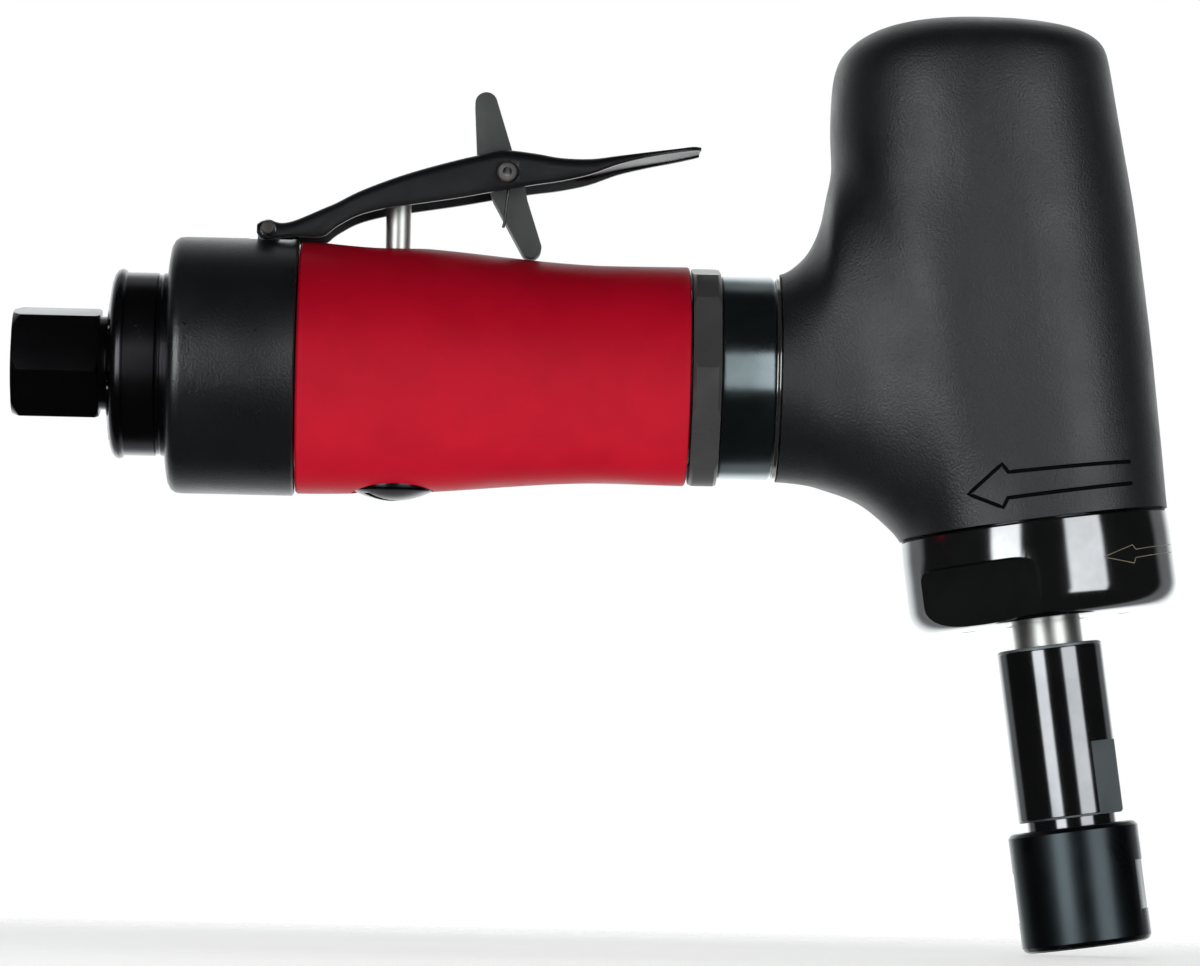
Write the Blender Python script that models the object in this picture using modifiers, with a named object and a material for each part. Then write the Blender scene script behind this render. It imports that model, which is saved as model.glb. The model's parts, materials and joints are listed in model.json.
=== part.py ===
"""Pistol-style pneumatic die grinder, built as separate pieces around a handle and a tilted motor head.

All dimensions are in millimetres and are turned into metres when a mesh is made.
Handle frame: +X runs along the handle from the air inlet to the head, +Z is up, the inlet face is X = 0.
Head frame: its Z axis is the spindle axis, tilted from the handle's upright, and it starts on the handle axis.
The whole tool hangs on one empty, which puts the middle of the overall box at the world origin.
"""
import math

import bmesh
import bpy
from mathutils import Euler, Vector

MM = 0.001
GAP = 0.3
SEGMENTS = 30
FINE_SEGMENTS = 18
HEAD_SEGMENTS = 32

# Air inlet and rear end
HEX_CORNER_R = 10.08
HEX_LENGTH = 14.9
HEX_TURN = math.radians(-9.1)
INLET_SHANK_R = 8.0
INLET_SHANK_END = 38.0
INLET_PORT_R = 5.9
INLET_PORT_DEPTH = 15.0
INLET_DUCT_R = 4.0
DEFLECTOR_START = 16.2
DEFLECTOR_R = 15.6
DEFLECTOR_END = 34.0
COVER_START = 26.4
COVER_END = 48.5
COVER_R = 22.0

# Handle
SLEEVE_BORE_R = 17.3
HANDLE_R = 17.0
HANDLE_START = 28.6
HANDLE_NOSE_R = 12.0
HANDLE_SHOULDER = 46.4
GRIP_START = 48.8
GRIP_END = 115.5
SPIGOT_R = 15.0
SPIGOT_END = 141.0
NUT_START = 115.9
NUT_END = 120.7
NUT_R = 19.3
NUT_FLAT = 18.14
NUT_TURN = math.radians(18.0)
COUPLING_END = 129.9
COUPLING_R = 17.4
WASHER_START = 130.1
WASHER_END = 130.8
WASHER_R = 17.9
NECK_START = 131.1
NECK_R = 17.8

# Throttle valve, on an upright line through the handle
VALVE_X = 65.4
STEM_R = 2.15
STEM_TOP = 31.0
CHAMBER_R = 5.5
SEAT_TOP = 1.5
SEAT_BOTTOM = -1.0
POPPET_R = 4.6
POPPET_TOP = -2.8
POPPET_BOTTOM = -4.4
SPRING_R = 3.4
SPRING_WIRE_R = 0.45
SPRING_TURNS = 5
PLUG_TOP = -13.4
PLUG_FLANGE_R = 6.8
PLUG_FLANGE_TOP = -17.3
PLUG_BOTTOM = -22.4

# Lever and safety latch
LEVER_PIVOT = (43.2, 0.0, 23.2)
LEVER_PIN_R = 1.1
LEVER_PIN_HALF = 8.6
LEVER_WALL = 1.5
LUG_HALF_WIDTH = 4.0
LATCH_PIVOT = (83.8, 0.0, 33.7)
LATCH_PIN_R = 1.7
LATCH_PIN_BORE_R = 0.8
LATCH_PIN_HALF = 8.9
LATCH_HALF_WIDTH = 3.0

# Head
SPINDLE_X = 172.1
HEAD_TILT = math.radians(8.27)
SEAM_Z = -24.35
MOTOR_BORE_R = 19.2
MOTOR_R = 18.9
MOTOR_TOP = 38.8
BEARING_POCKET_R = 12.3
BEARING_POCKET_TOP = 47.0
CYLINDER_TOP = 33.0
CYLINDER_BOTTOM = -6.7
CYLINDER_BORE_R = 15.6
CYLINDER_OFFSET = 1.3
ROTOR_R = 14.0
VANES = 5
VANE_WIDTH = 1.6
JOURNAL_R = 4.9
SHAFT_R = 5.9
NOSE_TOP = SEAM_Z - GAP
NOSE_R = 23.2
NOSE_BOTTOM = -41.3
NOSE_FLAT = 20.1
NOSE_FLAT_TOP = -29.0
NOSE_FLAT_TURN = math.radians(-31.6)

# Collet chuck, on the spindle axis
CHUCK_TOP = -45.4
CHUCK_R = 9.0
CHUCK_SHOULDER = -75.0
CHUCK_THREAD_R = 7.9
CHUCK_FLAT = 8.0
CHUCK_FLAT_TURN = math.radians(55.0)
COLLET_BORE_R = 3.1
COLLET_LEAD_IN = 0.8
COLLET_SLITS = 4
COLLET_NUT_TOP = -77.0
COLLET_NUT_BOTTOM = -97.2
COLLET_NUT_R = 11.1
COLLET_NUT_FLAT = 9.95


def clear_scene():
    for obj in list(bpy.data.objects):
        bpy.data.objects.remove(obj, do_unlink=True)


def make_collection(name):
    collection = bpy.data.collections.new(name)
    bpy.context.scene.collection.children.link(collection)
    return collection


def make_material(name, color, roughness, metallic):
    material = bpy.data.materials.new(name)
    material.use_nodes = True
    shader = material.node_tree.nodes["Principled BSDF"]
    shader.inputs["Base Color"].default_value = (*color, 1.0)
    shader.inputs["Roughness"].default_value = roughness
    shader.inputs["Metallic"].default_value = metallic
    return material


def make_empty(name, location, parent=None, tilt=0.0):
    empty = bpy.data.objects.new(name, None)
    empty.empty_display_size = 5 * MM
    empty.location = Vector(location) * MM
    empty.rotation_euler = (0.0, tilt, 0.0)
    empty.parent = parent
    parts.objects.link(empty)
    return empty


def new_object(name, mesh, parent, cutter=False, rotation=(0.0, 0.0, 0.0), offset=(0.0, 0.0, 0.0)):
    """Link a mesh as a part, or as a cutter that stays out of the model."""
    obj = bpy.data.objects.new(name, mesh)
    obj.parent = parent
    obj.location = Vector(offset) * MM
    obj.rotation_euler = rotation
    if cutter:
        cutters.objects.link(obj)
        obj.hide_render = True
        obj.display_type = "WIRE"
    else:
        parts.objects.link(obj)
        mesh.shade_smooth()
        mesh.set_sharp_from_angle(angle=math.radians(35))
    return obj


def finish_part(obj, color, roughness, metallic):
    obj.data.materials.clear()
    obj.data.materials.append(make_material(obj.name, color, roughness, metallic))
    return obj


ALONG_X = (0.0, math.radians(90.0), 0.0)
ALONG_Y = (math.radians(-90.0), 0.0, 0.0)


def turned(name, outline, parent, segments=SEGMENTS, **place):
    """Turn an outline of (height, radius) points; one that ends on the axis makes a solid body."""
    solid = outline[0][1] == 0.0 and outline[-1][1] == 0.0
    loop = outline + [outline[0]]
    area = sum(a[0] * b[1] - b[0] * a[1] for a, b in zip(loop, loop[1:]))
    ordered = outline if area > 0 else outline[::-1]
    mesh = bpy.data.meshes.new(name)
    verts = [(radius * MM, 0.0, height * MM) for height, radius in ordered]
    count = len(verts)
    edges = [(i, i + 1) for i in range(count - 1)]
    if not solid:
        edges.append((count - 1, 0))
    mesh.from_pydata(verts, edges, [])
    obj = new_object(name, mesh, parent, **place)
    screw = obj.modifiers.new("turn", "SCREW")
    screw.steps = segments
    screw.render_steps = segments
    screw.use_merge_vertices = True
    screw.merge_threshold = 0.00001
    return obj


def ring(name, low, high, inner, outer, parent, chamfer=0.3, **place):
    outline = [
        (low, inner),
        (low, outer - chamfer),
        (low + chamfer, outer),
        (high - chamfer, outer),
        (high, outer - chamfer),
        (high, inner),
    ]
    return turned(name, outline, parent, **place)


def rod(name, low, high, radius, parent, segments=FINE_SEGMENTS, **place):
    outline = [(low, 0.0), (low, radius), (high, radius), (high, 0.0)]
    return turned(name, outline, parent, segments=segments, **place)


def block(name, low, high, parent, turn=0.0, cutter=True):
    """A box between two corners, turned about the parent's Z axis."""
    mesh = bpy.data.meshes.new(name)
    shape = bmesh.new()
    bmesh.ops.create_cube(shape, size=1.0)
    size = (Vector(high) - Vector(low)) * MM
    middle = (Vector(high) + Vector(low)) * 0.5 * MM
    bmesh.ops.scale(shape, vec=size, verts=shape.verts)
    bmesh.ops.translate(shape, vec=middle, verts=shape.verts)
    shape.to_mesh(mesh)
    shape.free()
    return new_object(name, mesh, parent, cutter=cutter, rotation=(0.0, 0.0, turn))


def prism(name, sides, corner_r, low, high, turn, parent, **place):
    """A regular prism about the local Z axis."""
    mesh = bpy.data.meshes.new(name)
    shape = bmesh.new()
    depth = (high - low) * MM
    radius = corner_r * MM
    bmesh.ops.create_cone(
        shape, cap_ends=True, segments=sides, radius1=radius, radius2=radius, depth=depth
    )
    bmesh.ops.rotate(shape, verts=shape.verts, matrix=Euler((0.0, 0.0, turn)).to_matrix())
    bmesh.ops.translate(shape, vec=(0.0, 0.0, (low + high) * 0.5 * MM), verts=shape.verts)
    shape.to_mesh(mesh)
    shape.free()
    return new_object(name, mesh, parent, **place)


def loft(name, sections, parent, **place):
    """Skin closed rings of the same number of points, and cap both ends."""
    mesh = bpy.data.meshes.new(name)
    shape = bmesh.new()
    rings = [[shape.verts.new(Vector(point) * MM) for point in section] for section in sections]
    for first, second in zip(rings, rings[1:]):
        for i in range(len(first)):
            j = (i + 1) % len(first)
            shape.faces.new((first[i], first[j], second[j], second[i]))
    shape.faces.new(rings[0][::-1])
    shape.faces.new(rings[-1])
    bmesh.ops.recalc_face_normals(shape, faces=shape.faces)
    shape.to_mesh(mesh)
    shape.free()
    return new_object(name, mesh, parent, **place)


def plate(name, outline, half_width, parent, origin):
    """A flat outline in the XZ plane, given as (x, z) points, as thick as twice half_width along Y."""
    curve = bpy.data.curves.new(name, "CURVE")
    curve.dimensions = "2D"
    curve.fill_mode = "BOTH"
    curve.extrude = half_width * MM
    spline = curve.splines.new("POLY")
    spline.points.add(len(outline) - 1)
    for point, (x, z) in zip(spline.points, outline):
        point.co = (x * MM, z * MM, 0.0, 1.0)
    spline.use_cyclic_u = True
    return curve_part(name, curve, parent, (math.radians(90.0), 0.0, 0.0), origin)


def curve_part(name, curve, parent, rotation=(0.0, 0.0, 0.0), origin=(0.0, 0.0, 0.0)):
    """Make a curve into a closed mesh part."""
    source = bpy.data.objects.new(name + "_curve", curve)
    parts.objects.link(source)
    graph = bpy.context.evaluated_depsgraph_get()
    mesh = bpy.data.meshes.new_from_object(source.evaluated_get(graph))
    bpy.data.objects.remove(source, do_unlink=True)
    shape = bmesh.new()
    shape.from_mesh(mesh)
    bmesh.ops.remove_doubles(shape, verts=shape.verts, dist=0.00001)
    bmesh.ops.recalc_face_normals(shape, faces=shape.faces)
    shape.to_mesh(mesh)
    shape.free()
    mesh.name = name
    return new_object(name, mesh, parent, rotation=rotation, offset=origin)


def wire(name, points, radius, parent, origin=(0.0, 0.0, 0.0)):
    """A round wire through the points."""
    curve = bpy.data.curves.new(name, "CURVE")
    curve.dimensions = "3D"
    curve.bevel_depth = radius * MM
    curve.bevel_resolution = 2
    curve.use_fill_caps = True
    spline = curve.splines.new("POLY")
    spline.points.add(len(points) - 1)
    for point, place in zip(spline.points, points):
        point.co = (*(Vector(place) * MM), 1.0)
    return curve_part(name, curve, parent, origin=origin)


def combine(part, tool, operation="DIFFERENCE"):
    modifier = part.modifiers.new(operation.lower(), "BOOLEAN")
    modifier.operation = operation
    modifier.solver = "EXACT"
    modifier.object = tool
    return part


def joined(name, tools, parent):
    """One cutter made from several that don't touch each other."""
    mesh = bpy.data.meshes.new(name)
    shape = bmesh.new()
    graph = bpy.context.evaluated_depsgraph_get()
    for tool in tools:
        piece = bpy.data.meshes.new_from_object(tool.evaluated_get(graph))
        piece.transform(tool.matrix_basis)
        shape.from_mesh(piece)
        bpy.data.meshes.remove(piece)
        bpy.data.objects.remove(tool, do_unlink=True)
    shape.to_mesh(mesh)
    shape.free()
    return new_object(name, mesh, parent, cutter=True)


def arc(centre, radius, start_deg, end_deg, steps):
    """Points of an arc in a plane."""
    angles = [math.radians(start_deg + (end_deg - start_deg) * i / steps) for i in range(steps + 1)]
    return [(centre[0] + radius * math.cos(a), centre[1] + radius * math.sin(a)) for a in angles]


def blend_through(points, place):
    """Height of a smooth curve through (place, height) points."""
    if place <= points[0][0]:
        return points[0][1]
    for (x0, y0), (x1, y1) in zip(points, points[1:]):
        if place <= x1:
            part = (place - x0) / (x1 - x0)
            return y0 + (y1 - y0) * part * part * (3 - 2 * part)
    return points[-1][1]


# ---- rear end -------------------------------------------------------------------------------------


def inlet_bushing():
    """Hexagon with turned corners, a shank that screws into the handle, and the air port."""
    name = "inlet_bushing"
    body = prism(name, 6, HEX_CORNER_R, 0.0, HEX_LENGTH, -HEX_TURN, frame, rotation=ALONG_X)
    corners = turned(
        "inlet_corner_turning",
        [(-1.0, 0.0), (-1.0, 8.1), (1.7, 10.3), (14.1, 10.3), (16.0, 8.2), (16.0, 0.0)],
        frame,
        cutter=True,
        rotation=ALONG_X,
    )
    shank = rod("inlet_shank", HEX_LENGTH - 0.5, INLET_SHANK_END, INLET_SHANK_R, frame, SEGMENTS,
                cutter=True, rotation=ALONG_X)
    port = turned(
        "inlet_port",
        [
            (-1.0, 0.0),
            (-1.0, INLET_PORT_R + 0.9),
            (0.8, INLET_PORT_R),
            (INLET_PORT_DEPTH, INLET_PORT_R),
            (INLET_PORT_DEPTH + 1.5, INLET_DUCT_R),
            (INLET_SHANK_END + 1.0, INLET_DUCT_R),
            (INLET_SHANK_END + 1.0, 0.0),
        ],
        frame,
        cutter=True,
        rotation=ALONG_X,
    )
    combine(body, corners, "INTERSECT")
    combine(body, shank, "UNION")
    combine(body, port)
    finish_part(body, (0.012, 0.012, 0.014), 0.28, 0.9)


def inlet_screen():
    """Thin strainer cup at the bottom of the air port."""
    start = INLET_PORT_DEPTH - 3.5
    outline = [
        (start, 5.1),
        (start, 5.6),
        (start + 3.0, 5.6),
        (start + 3.0, 3.6),
        (start + 11.0, 2.4),
        (start + 11.0, 0.0),
        (start + 10.5, 0.0),
        (start + 10.5, 2.0),
        (start + 2.5, 3.2),
        (start + 2.5, 5.1),
    ]
    # The cup's wall is a closed strip whose floor meets the axis, so it is turned as an open outline.
    ordered = outline[6:] + outline[:6]
    body = turned("inlet_screen", ordered, frame, FINE_SEGMENTS, rotation=ALONG_X)
    finish_part(body, (0.55, 0.52, 0.42), 0.4, 1.0)


def exhaust_deflector():
    """Ribbed collar that lets the exhaust out round the inlet."""
    start = DEFLECTOR_START
    outline = [
        (start, INLET_SHANK_R + GAP),
        (start, 9.6),
        (start + 0.8, 14.6),
        (start + 1.6, 16.0),
        (start + 2.4, 16.3),
        (start + 3.2, DEFLECTOR_R),
        (start + 8.0, DEFLECTOR_R),
        (start + 8.2, DEFLECTOR_R - 0.5),
        (start + 8.9, DEFLECTOR_R - 0.5),
        (start + 9.1, DEFLECTOR_R),
        (DEFLECTOR_END, DEFLECTOR_R),
        (DEFLECTOR_END, HANDLE_NOSE_R - 0.7),
        (HANDLE_START - GAP, HANDLE_NOSE_R - 0.7),
        (HANDLE_START - GAP, INLET_SHANK_R + GAP),
    ]
    body = turned("exhaust_deflector", outline, frame, rotation=ALONG_X)
    drills = []
    for i in range(8):
        angle = math.radians(22.5 + 45.0 * i)
        offset = (0.0, 13.4 * math.cos(angle), 13.4 * math.sin(angle))
        drills.append(
            rod(f"exhaust_drill_{i}", DEFLECTOR_START - 2.0, DEFLECTOR_END + 2.0, 1.2, frame, 12,
                cutter=True, rotation=ALONG_X, offset=offset)
        )
    combine(body, joined("exhaust_drills", drills, frame))
    finish_part(body, (0.02, 0.02, 0.023), 0.35, 0.6)


def muffler_felt():
    body = ring("muffler_felt", DEFLECTOR_END + GAP, 40.6, HANDLE_NOSE_R + GAP, 15.9, frame,
                segments=FINE_SEGMENTS, rotation=ALONG_X)
    finish_part(body, (0.42, 0.4, 0.36), 0.95, 0.0)


def rear_cover():
    """Black sleeve behind the grip, with a slot for the lever's lug."""
    outline = [
        (COVER_START, DEFLECTOR_R + GAP),
        (COVER_START + 0.6, 20.2),
        (COVER_START + 1.3, 21.5),
        (COVER_START + 2.3, COVER_R),
        (COVER_END - 0.3, COVER_R),
        (COVER_END, COVER_R - 0.3),
        (COVER_END, SLEEVE_BORE_R),
        (DEFLECTOR_END - 3.0, SLEEVE_BORE_R),
        (DEFLECTOR_END - 3.0, DEFLECTOR_R + GAP),
    ]
    body = turned("rear_cover", outline, frame, rotation=ALONG_X)
    lug_half = LUG_HALF_WIDTH + GAP
    slot = block("lug_slot", (LEVER_PIVOT[0] - 3.3, -lug_half, 14.0), (47.4, lug_half, 26.0), frame)
    combine(body, slot)
    finish_part(body, (0.03, 0.031, 0.034), 0.5, 0.1)


# ---- handle ---------------------------------------------------------------------------------------


def handle_body():
    """Alloy core: nose, barrel and threaded spigot, lever lug, air ducts and the valve's cross bore."""
    outline = [
        (HANDLE_START, INLET_SHANK_R + GAP),
        (HANDLE_START, HANDLE_NOSE_R - 1.0),
        (HANDLE_START + 6.0, HANDLE_NOSE_R - 1.0),
        (HANDLE_START + 6.0, HANDLE_NOSE_R),
        (HANDLE_SHOULDER, HANDLE_NOSE_R),
        (HANDLE_SHOULDER, HANDLE_R),
        (GRIP_END, HANDLE_R),
        (GRIP_END, SPIGOT_R),
        (SPIGOT_END - 0.6, SPIGOT_R),
        (SPIGOT_END, SPIGOT_R - 0.6),
        (SPIGOT_END, 0.0),
        (INLET_SHANK_END + GAP, 0.0),
        (INLET_SHANK_END + GAP, INLET_SHANK_R + GAP),
    ]
    turned_outline = outline[11:] + outline[:11]
    body = turned("handle_body", turned_outline, frame, rotation=ALONG_X)
    combine(body, lever_lug(), "UNION")
    combine(body, air_ducts())
    combine(body, valve_bore())
    finish_part(body, (0.6, 0.61, 0.62), 0.35, 1.0)


def lever_lug():
    """Upright ear that holds the lever's hinge pin."""
    x, _, z = LEVER_PIVOT
    half = 2.1
    outline = [(x - half, 11.0), (x + half + 1.6, 11.0), (x + half, z)]
    outline += arc((x, z), half, 15.0, 165.0, 8)
    outline += [(x - half, z)]
    lug = plate("lever_lug", outline, LUG_HALF_WIDTH, frame, (0.0, 0.0, 0.0))
    parts.objects.unlink(lug)
    cutters.objects.link(lug)
    lug.hide_render = True
    lug.display_type = "WIRE"
    bore = rod("lever_lug_bore", -6.0, 6.0, LEVER_PIN_R + GAP, frame, FINE_SEGMENTS,
               cutter=True, rotation=ALONG_Y, offset=LEVER_PIVOT)
    combine(lug, bore)
    return lug


def air_ducts():
    """Inlet duct low, outlet duct high, and four exhaust ducts along the handle's sides."""
    ducts = [
        rod("inlet_duct", INLET_SHANK_END - 1.0, VALVE_X, 3.0, frame, 16,
            cutter=True, rotation=ALONG_X, offset=(0.0, 0.0, -5.0)),
        rod("outlet_duct", VALVE_X, SPIGOT_END + 1.0, 3.0, frame, 16,
            cutter=True, rotation=ALONG_X, offset=(0.0, 0.0, 4.8)),
    ]
    for i, (y, z) in enumerate(((11.2, 3.4), (11.2, -3.4), (-11.2, 3.4), (-11.2, -3.4))):
        ducts.append(
            rod(f"exhaust_duct_{i}", HANDLE_SHOULDER - 1.0, SPIGOT_END + 1.0, 1.9, frame, 12,
                cutter=True, rotation=ALONG_X, offset=(0.0, y, z))
        )
    return joined("air_ducts", ducts, frame)


def valve_bore():
    outline = [
        (19.0, 0.0),
        (19.0, 4.3),
        (11.0, 4.3),
        (11.0, 2.6),
        (7.6, 2.6),
        (7.6, CHAMBER_R),
        (PLUG_FLANGE_TOP + GAP, CHAMBER_R),
        (PLUG_FLANGE_TOP + GAP, PLUG_FLANGE_R + GAP),
        (-19.0, PLUG_FLANGE_R + GAP),
        (-19.0, 0.0),
    ]
    return turned("valve_bore", outline, frame, FINE_SEGMENTS, cutter=True, offset=(VALVE_X, 0.0, 0.0))


def grip_radius(x):
    """The grip is full at the rear and drawn in to a waist near the head."""
    return blend_through(((GRIP_START, 21.6), (62.0, 21.2), (102.0, 18.7), (GRIP_END, 18.8)), x)


def grip_sleeve():
    """Red grip over the handle core."""
    stations = 9
    outline = [(GRIP_START, SLEEVE_BORE_R), (GRIP_START, grip_radius(GRIP_START) - 0.4)]
    for i in range(stations + 1):
        x = GRIP_START + 0.4 + (GRIP_END - GRIP_START - 0.9) * i / stations
        outline.append((x, grip_radius(x)))
    outline += [(GRIP_END, grip_radius(GRIP_END) - 0.5), (GRIP_END, SLEEVE_BORE_R)]
    body = turned("grip_sleeve", outline, frame, rotation=ALONG_X)
    stem_hole = rod("grip_stem_hole", 10.0, 30.0, STEM_R + 0.8, frame, 24,
                    cutter=True, offset=(VALVE_X, 0.0, 0.0))
    plug_hole = rod("grip_plug_hole", -30.0, -10.0, PLUG_FLANGE_R + GAP, frame, FINE_SEGMENTS,
                    cutter=True, offset=(VALVE_X, 0.0, 0.0))
    combine(body, stem_hole)
    combine(body, plug_hole)
    finish_part(body, (0.55, 0.012, 0.03), 0.45, 0.0)


def lock_nut():
    """Hexagonal ring with turned corners that locks the head's angle on the handle."""
    corner_r = NUT_FLAT / math.cos(math.radians(30.0))
    body = prism("lock_nut", 6, corner_r, NUT_START, NUT_END, math.radians(30.0) - NUT_TURN, frame,
                 rotation=ALONG_X)
    turning = ring("lock_nut_turning", NUT_START - 0.01, NUT_END + 0.01, SPIGOT_R + GAP, NUT_R, frame,
                   chamfer=0.5, cutter=True, rotation=ALONG_X)
    combine(body, turning, "INTERSECT")
    finish_part(body, (0.055, 0.05, 0.047), 0.4, 0.85)


def neck_rings():
    coupling = ring("coupling_ring", NUT_END + GAP, COUPLING_END, SPIGOT_R + GAP, COUPLING_R, frame,
                    rotation=ALONG_X)
    finish_part(coupling, (0.015, 0.015, 0.017), 0.2, 0.9)
    washer = ring("neck_washer", WASHER_START, WASHER_END, SPIGOT_R + GAP, WASHER_R, frame,
                  chamfer=0.15, rotation=ALONG_X)
    finish_part(washer, (0.75, 0.74, 0.7), 0.25, 1.0)


# ---- throttle valve -------------------------------------------------------------------------------


def valve_stem():
    """Domed push pin with the valve's poppet at its foot."""
    dome = arc((STEM_TOP - STEM_R, 0.0), STEM_R, 0.0, 90.0, 6)
    outline = [(h, max(r, 0.0)) for h, r in dome]
    outline[0] = (STEM_TOP, 0.0)
    outline += [
        (SEAT_TOP + 1.6, STEM_R),
        (SEAT_TOP + 1.0, 1.6),
        (POPPET_TOP, 1.6),
        (POPPET_TOP, POPPET_R),
        (POPPET_BOTTOM, POPPET_R),
        (POPPET_BOTTOM, 0.0),
    ]
    body = turned("valve_stem", outline, valve_axis, FINE_SEGMENTS)
    finish_part(body, (0.72, 0.72, 0.7), 0.22, 1.0)


def valve_fittings():
    seal = ring("valve_seal", POPPET_TOP + GAP, SEAT_BOTTOM - GAP, 1.9, 4.4, valve_axis, segments=FINE_SEGMENTS)
    finish_part(seal, (0.02, 0.02, 0.02), 0.7, 0.0)
    seat = ring("valve_seat", SEAT_BOTTOM, SEAT_TOP, 3.2, CHAMBER_R - GAP, valve_axis, segments=FINE_SEGMENTS)
    finish_part(seat, (0.7, 0.5, 0.2), 0.35, 1.0)
    bushing = ring("stem_bushing", 11.3, 16.6, STEM_R + 0.2, 4.0, valve_axis, segments=FINE_SEGMENTS)
    finish_part(bushing, (0.7, 0.5, 0.2), 0.35, 1.0)


def valve_spring():
    low = PLUG_TOP + GAP + SPRING_WIRE_R
    high = POPPET_BOTTOM - GAP - SPRING_WIRE_R
    per_turn = 10
    count = SPRING_TURNS * per_turn
    points = []
    for i in range(count + 1):
        angle = 2.0 * math.pi * i / per_turn
        height = low + (high - low) * i / count
        points.append((SPRING_R * math.cos(angle), SPRING_R * math.sin(angle), height))
    body = wire("valve_spring", points, SPRING_WIRE_R, valve_axis)
    finish_part(body, (0.6, 0.6, 0.6), 0.3, 1.0)


def valve_plug():
    """Screw plug below the valve, with a dished and slotted head."""
    outline = [
        (PLUG_TOP, 0.0),
        (PLUG_TOP, CHAMBER_R - 0.6),
        (PLUG_TOP - 0.3, CHAMBER_R - GAP),
        (PLUG_FLANGE_TOP, CHAMBER_R - GAP),
        (PLUG_FLANGE_TOP, PLUG_FLANGE_R),
        (PLUG_BOTTOM + 0.6, PLUG_FLANGE_R),
        (PLUG_BOTTOM, PLUG_FLANGE_R - 0.8),
        (PLUG_BOTTOM, 4.6),
        (PLUG_BOTTOM + 0.8, 3.6),
        (PLUG_BOTTOM + 0.8, 0.0),
    ]
    body = turned("valve_plug", outline, valve_axis, FINE_SEGMENTS)
    slot = block("valve_plug_slot", (-5.6, -0.8, PLUG_BOTTOM - 1.0), (5.6, 0.8, PLUG_BOTTOM + 2.2), valve_axis)
    combine(body, slot)
    finish_part(body, (0.03, 0.03, 0.033), 0.3, 0.9)


# ---- lever and latch ------------------------------------------------------------------------------


LEVER_STATIONS = (
    # along, crown height, flange foot height, half width
    (41.3, 23.9, 22.4, 7.3),
    (42.2, 24.8, 21.9, 7.3),
    (43.8, 24.8, 21.8, 7.3),
    (45.6, 24.2, 21.8, 7.3),
    (48.0, 24.9, 21.8, 7.3),
    (52.4, 26.9, 22.0, 7.3),
    (54.8, 28.0, 23.7, 7.3),
    (58.3, 29.9, 25.7, 7.3),
    (63.0, 31.9, 27.1, 7.3),
    (68.3, 33.8, 28.0, 7.3),
    (75.4, 35.9, 29.2, 7.3),
    (80.0, 37.0, 30.1, 7.4),
    (83.5, 37.7, 30.8, 7.6),
    (88.6, 37.2, 31.7, 8.0),
    (93.0, 36.5, 32.4, 8.4),
    (98.0, 36.4, 33.3, 8.8),
    (103.0, 37.0, 34.8, 9.0),
    (108.0, 37.7, 36.3, 8.9),
    (112.5, 38.4, 37.3, 8.2),
    (115.6, 39.0, 37.9, 6.9),
    (117.0, 39.1, 38.2, 5.2),
)


def channel_section(x, crown, foot, half):
    """Folded channel, open below, with a softened upper corner."""
    inner = half - LEVER_WALL
    depth = crown - foot
    soft = min(1.0, 0.6 * depth)
    under = crown - min(LEVER_WALL, 0.6 * depth)
    right = [(inner, foot), (half, foot), (half, crown - soft), (half - soft, crown)]
    left = [(-(half - soft), crown), (-half, crown - soft), (-half, foot), (-inner, foot)]
    inside = [(-inner, under - 0.2), (-inner + 0.2, under), (inner - 0.2, under), (inner, under - 0.2)]
    return [(x, y, z) for y, z in right + left + inside]


def throttle_lever():
    """Pressed channel lever, slotted for the latch and drilled for both pins."""
    px, _, pz = LEVER_PIVOT
    sections = [
        [(x - px, y, z - pz) for x, y, z in channel_section(*station)] for station in LEVER_STATIONS
    ]
    body = loft("throttle_lever", sections, lever_axis)
    hinge_bore = rod("lever_hinge_bore", -12.0, 12.0, LEVER_PIN_R + GAP, lever_axis, FINE_SEGMENTS,
                     cutter=True, rotation=ALONG_Y)
    latch_at = Vector(LATCH_PIVOT) - Vector(LEVER_PIVOT)
    latch_bore = rod("lever_latch_bore", -12.0, 12.0, LATCH_PIN_R + GAP, lever_axis, FINE_SEGMENTS,
                     cutter=True, rotation=ALONG_Y, offset=latch_at)
    half = LATCH_HALF_WIDTH + 0.4
    slot = block("lever_latch_slot", (latch_at[0] - 10.5, -half, 8.0), (latch_at[0] + 3.6, half, 18.0), lever_axis)
    fork_half = LUG_HALF_WIDTH + 0.5
    fork = block("lever_fork_slot", (-6.0, -fork_half, -6.0), (4.6, fork_half, 8.0), lever_axis)
    combine(body, hinge_bore)
    combine(body, latch_bore)
    combine(body, slot)
    combine(body, fork)
    finish_part(body, (0.018, 0.018, 0.022), 0.4, 0.5)


def lever_pin():
    body = rod("lever_pin", -LEVER_PIN_HALF, LEVER_PIN_HALF, LEVER_PIN_R, lever_axis, 20, rotation=ALONG_Y)
    finish_part(body, (0.35, 0.35, 0.35), 0.35, 1.0)


def latch_pin():
    """Hollow rivet that carries the latch."""
    body = ring("latch_pin", -LATCH_PIN_HALF, LATCH_PIN_HALF, LATCH_PIN_BORE_R, LATCH_PIN_R, latch_axis,
                chamfer=0.25, segments=24, rotation=ALONG_Y)
    finish_part(body, (0.4, 0.4, 0.42), 0.3, 1.0)


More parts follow.
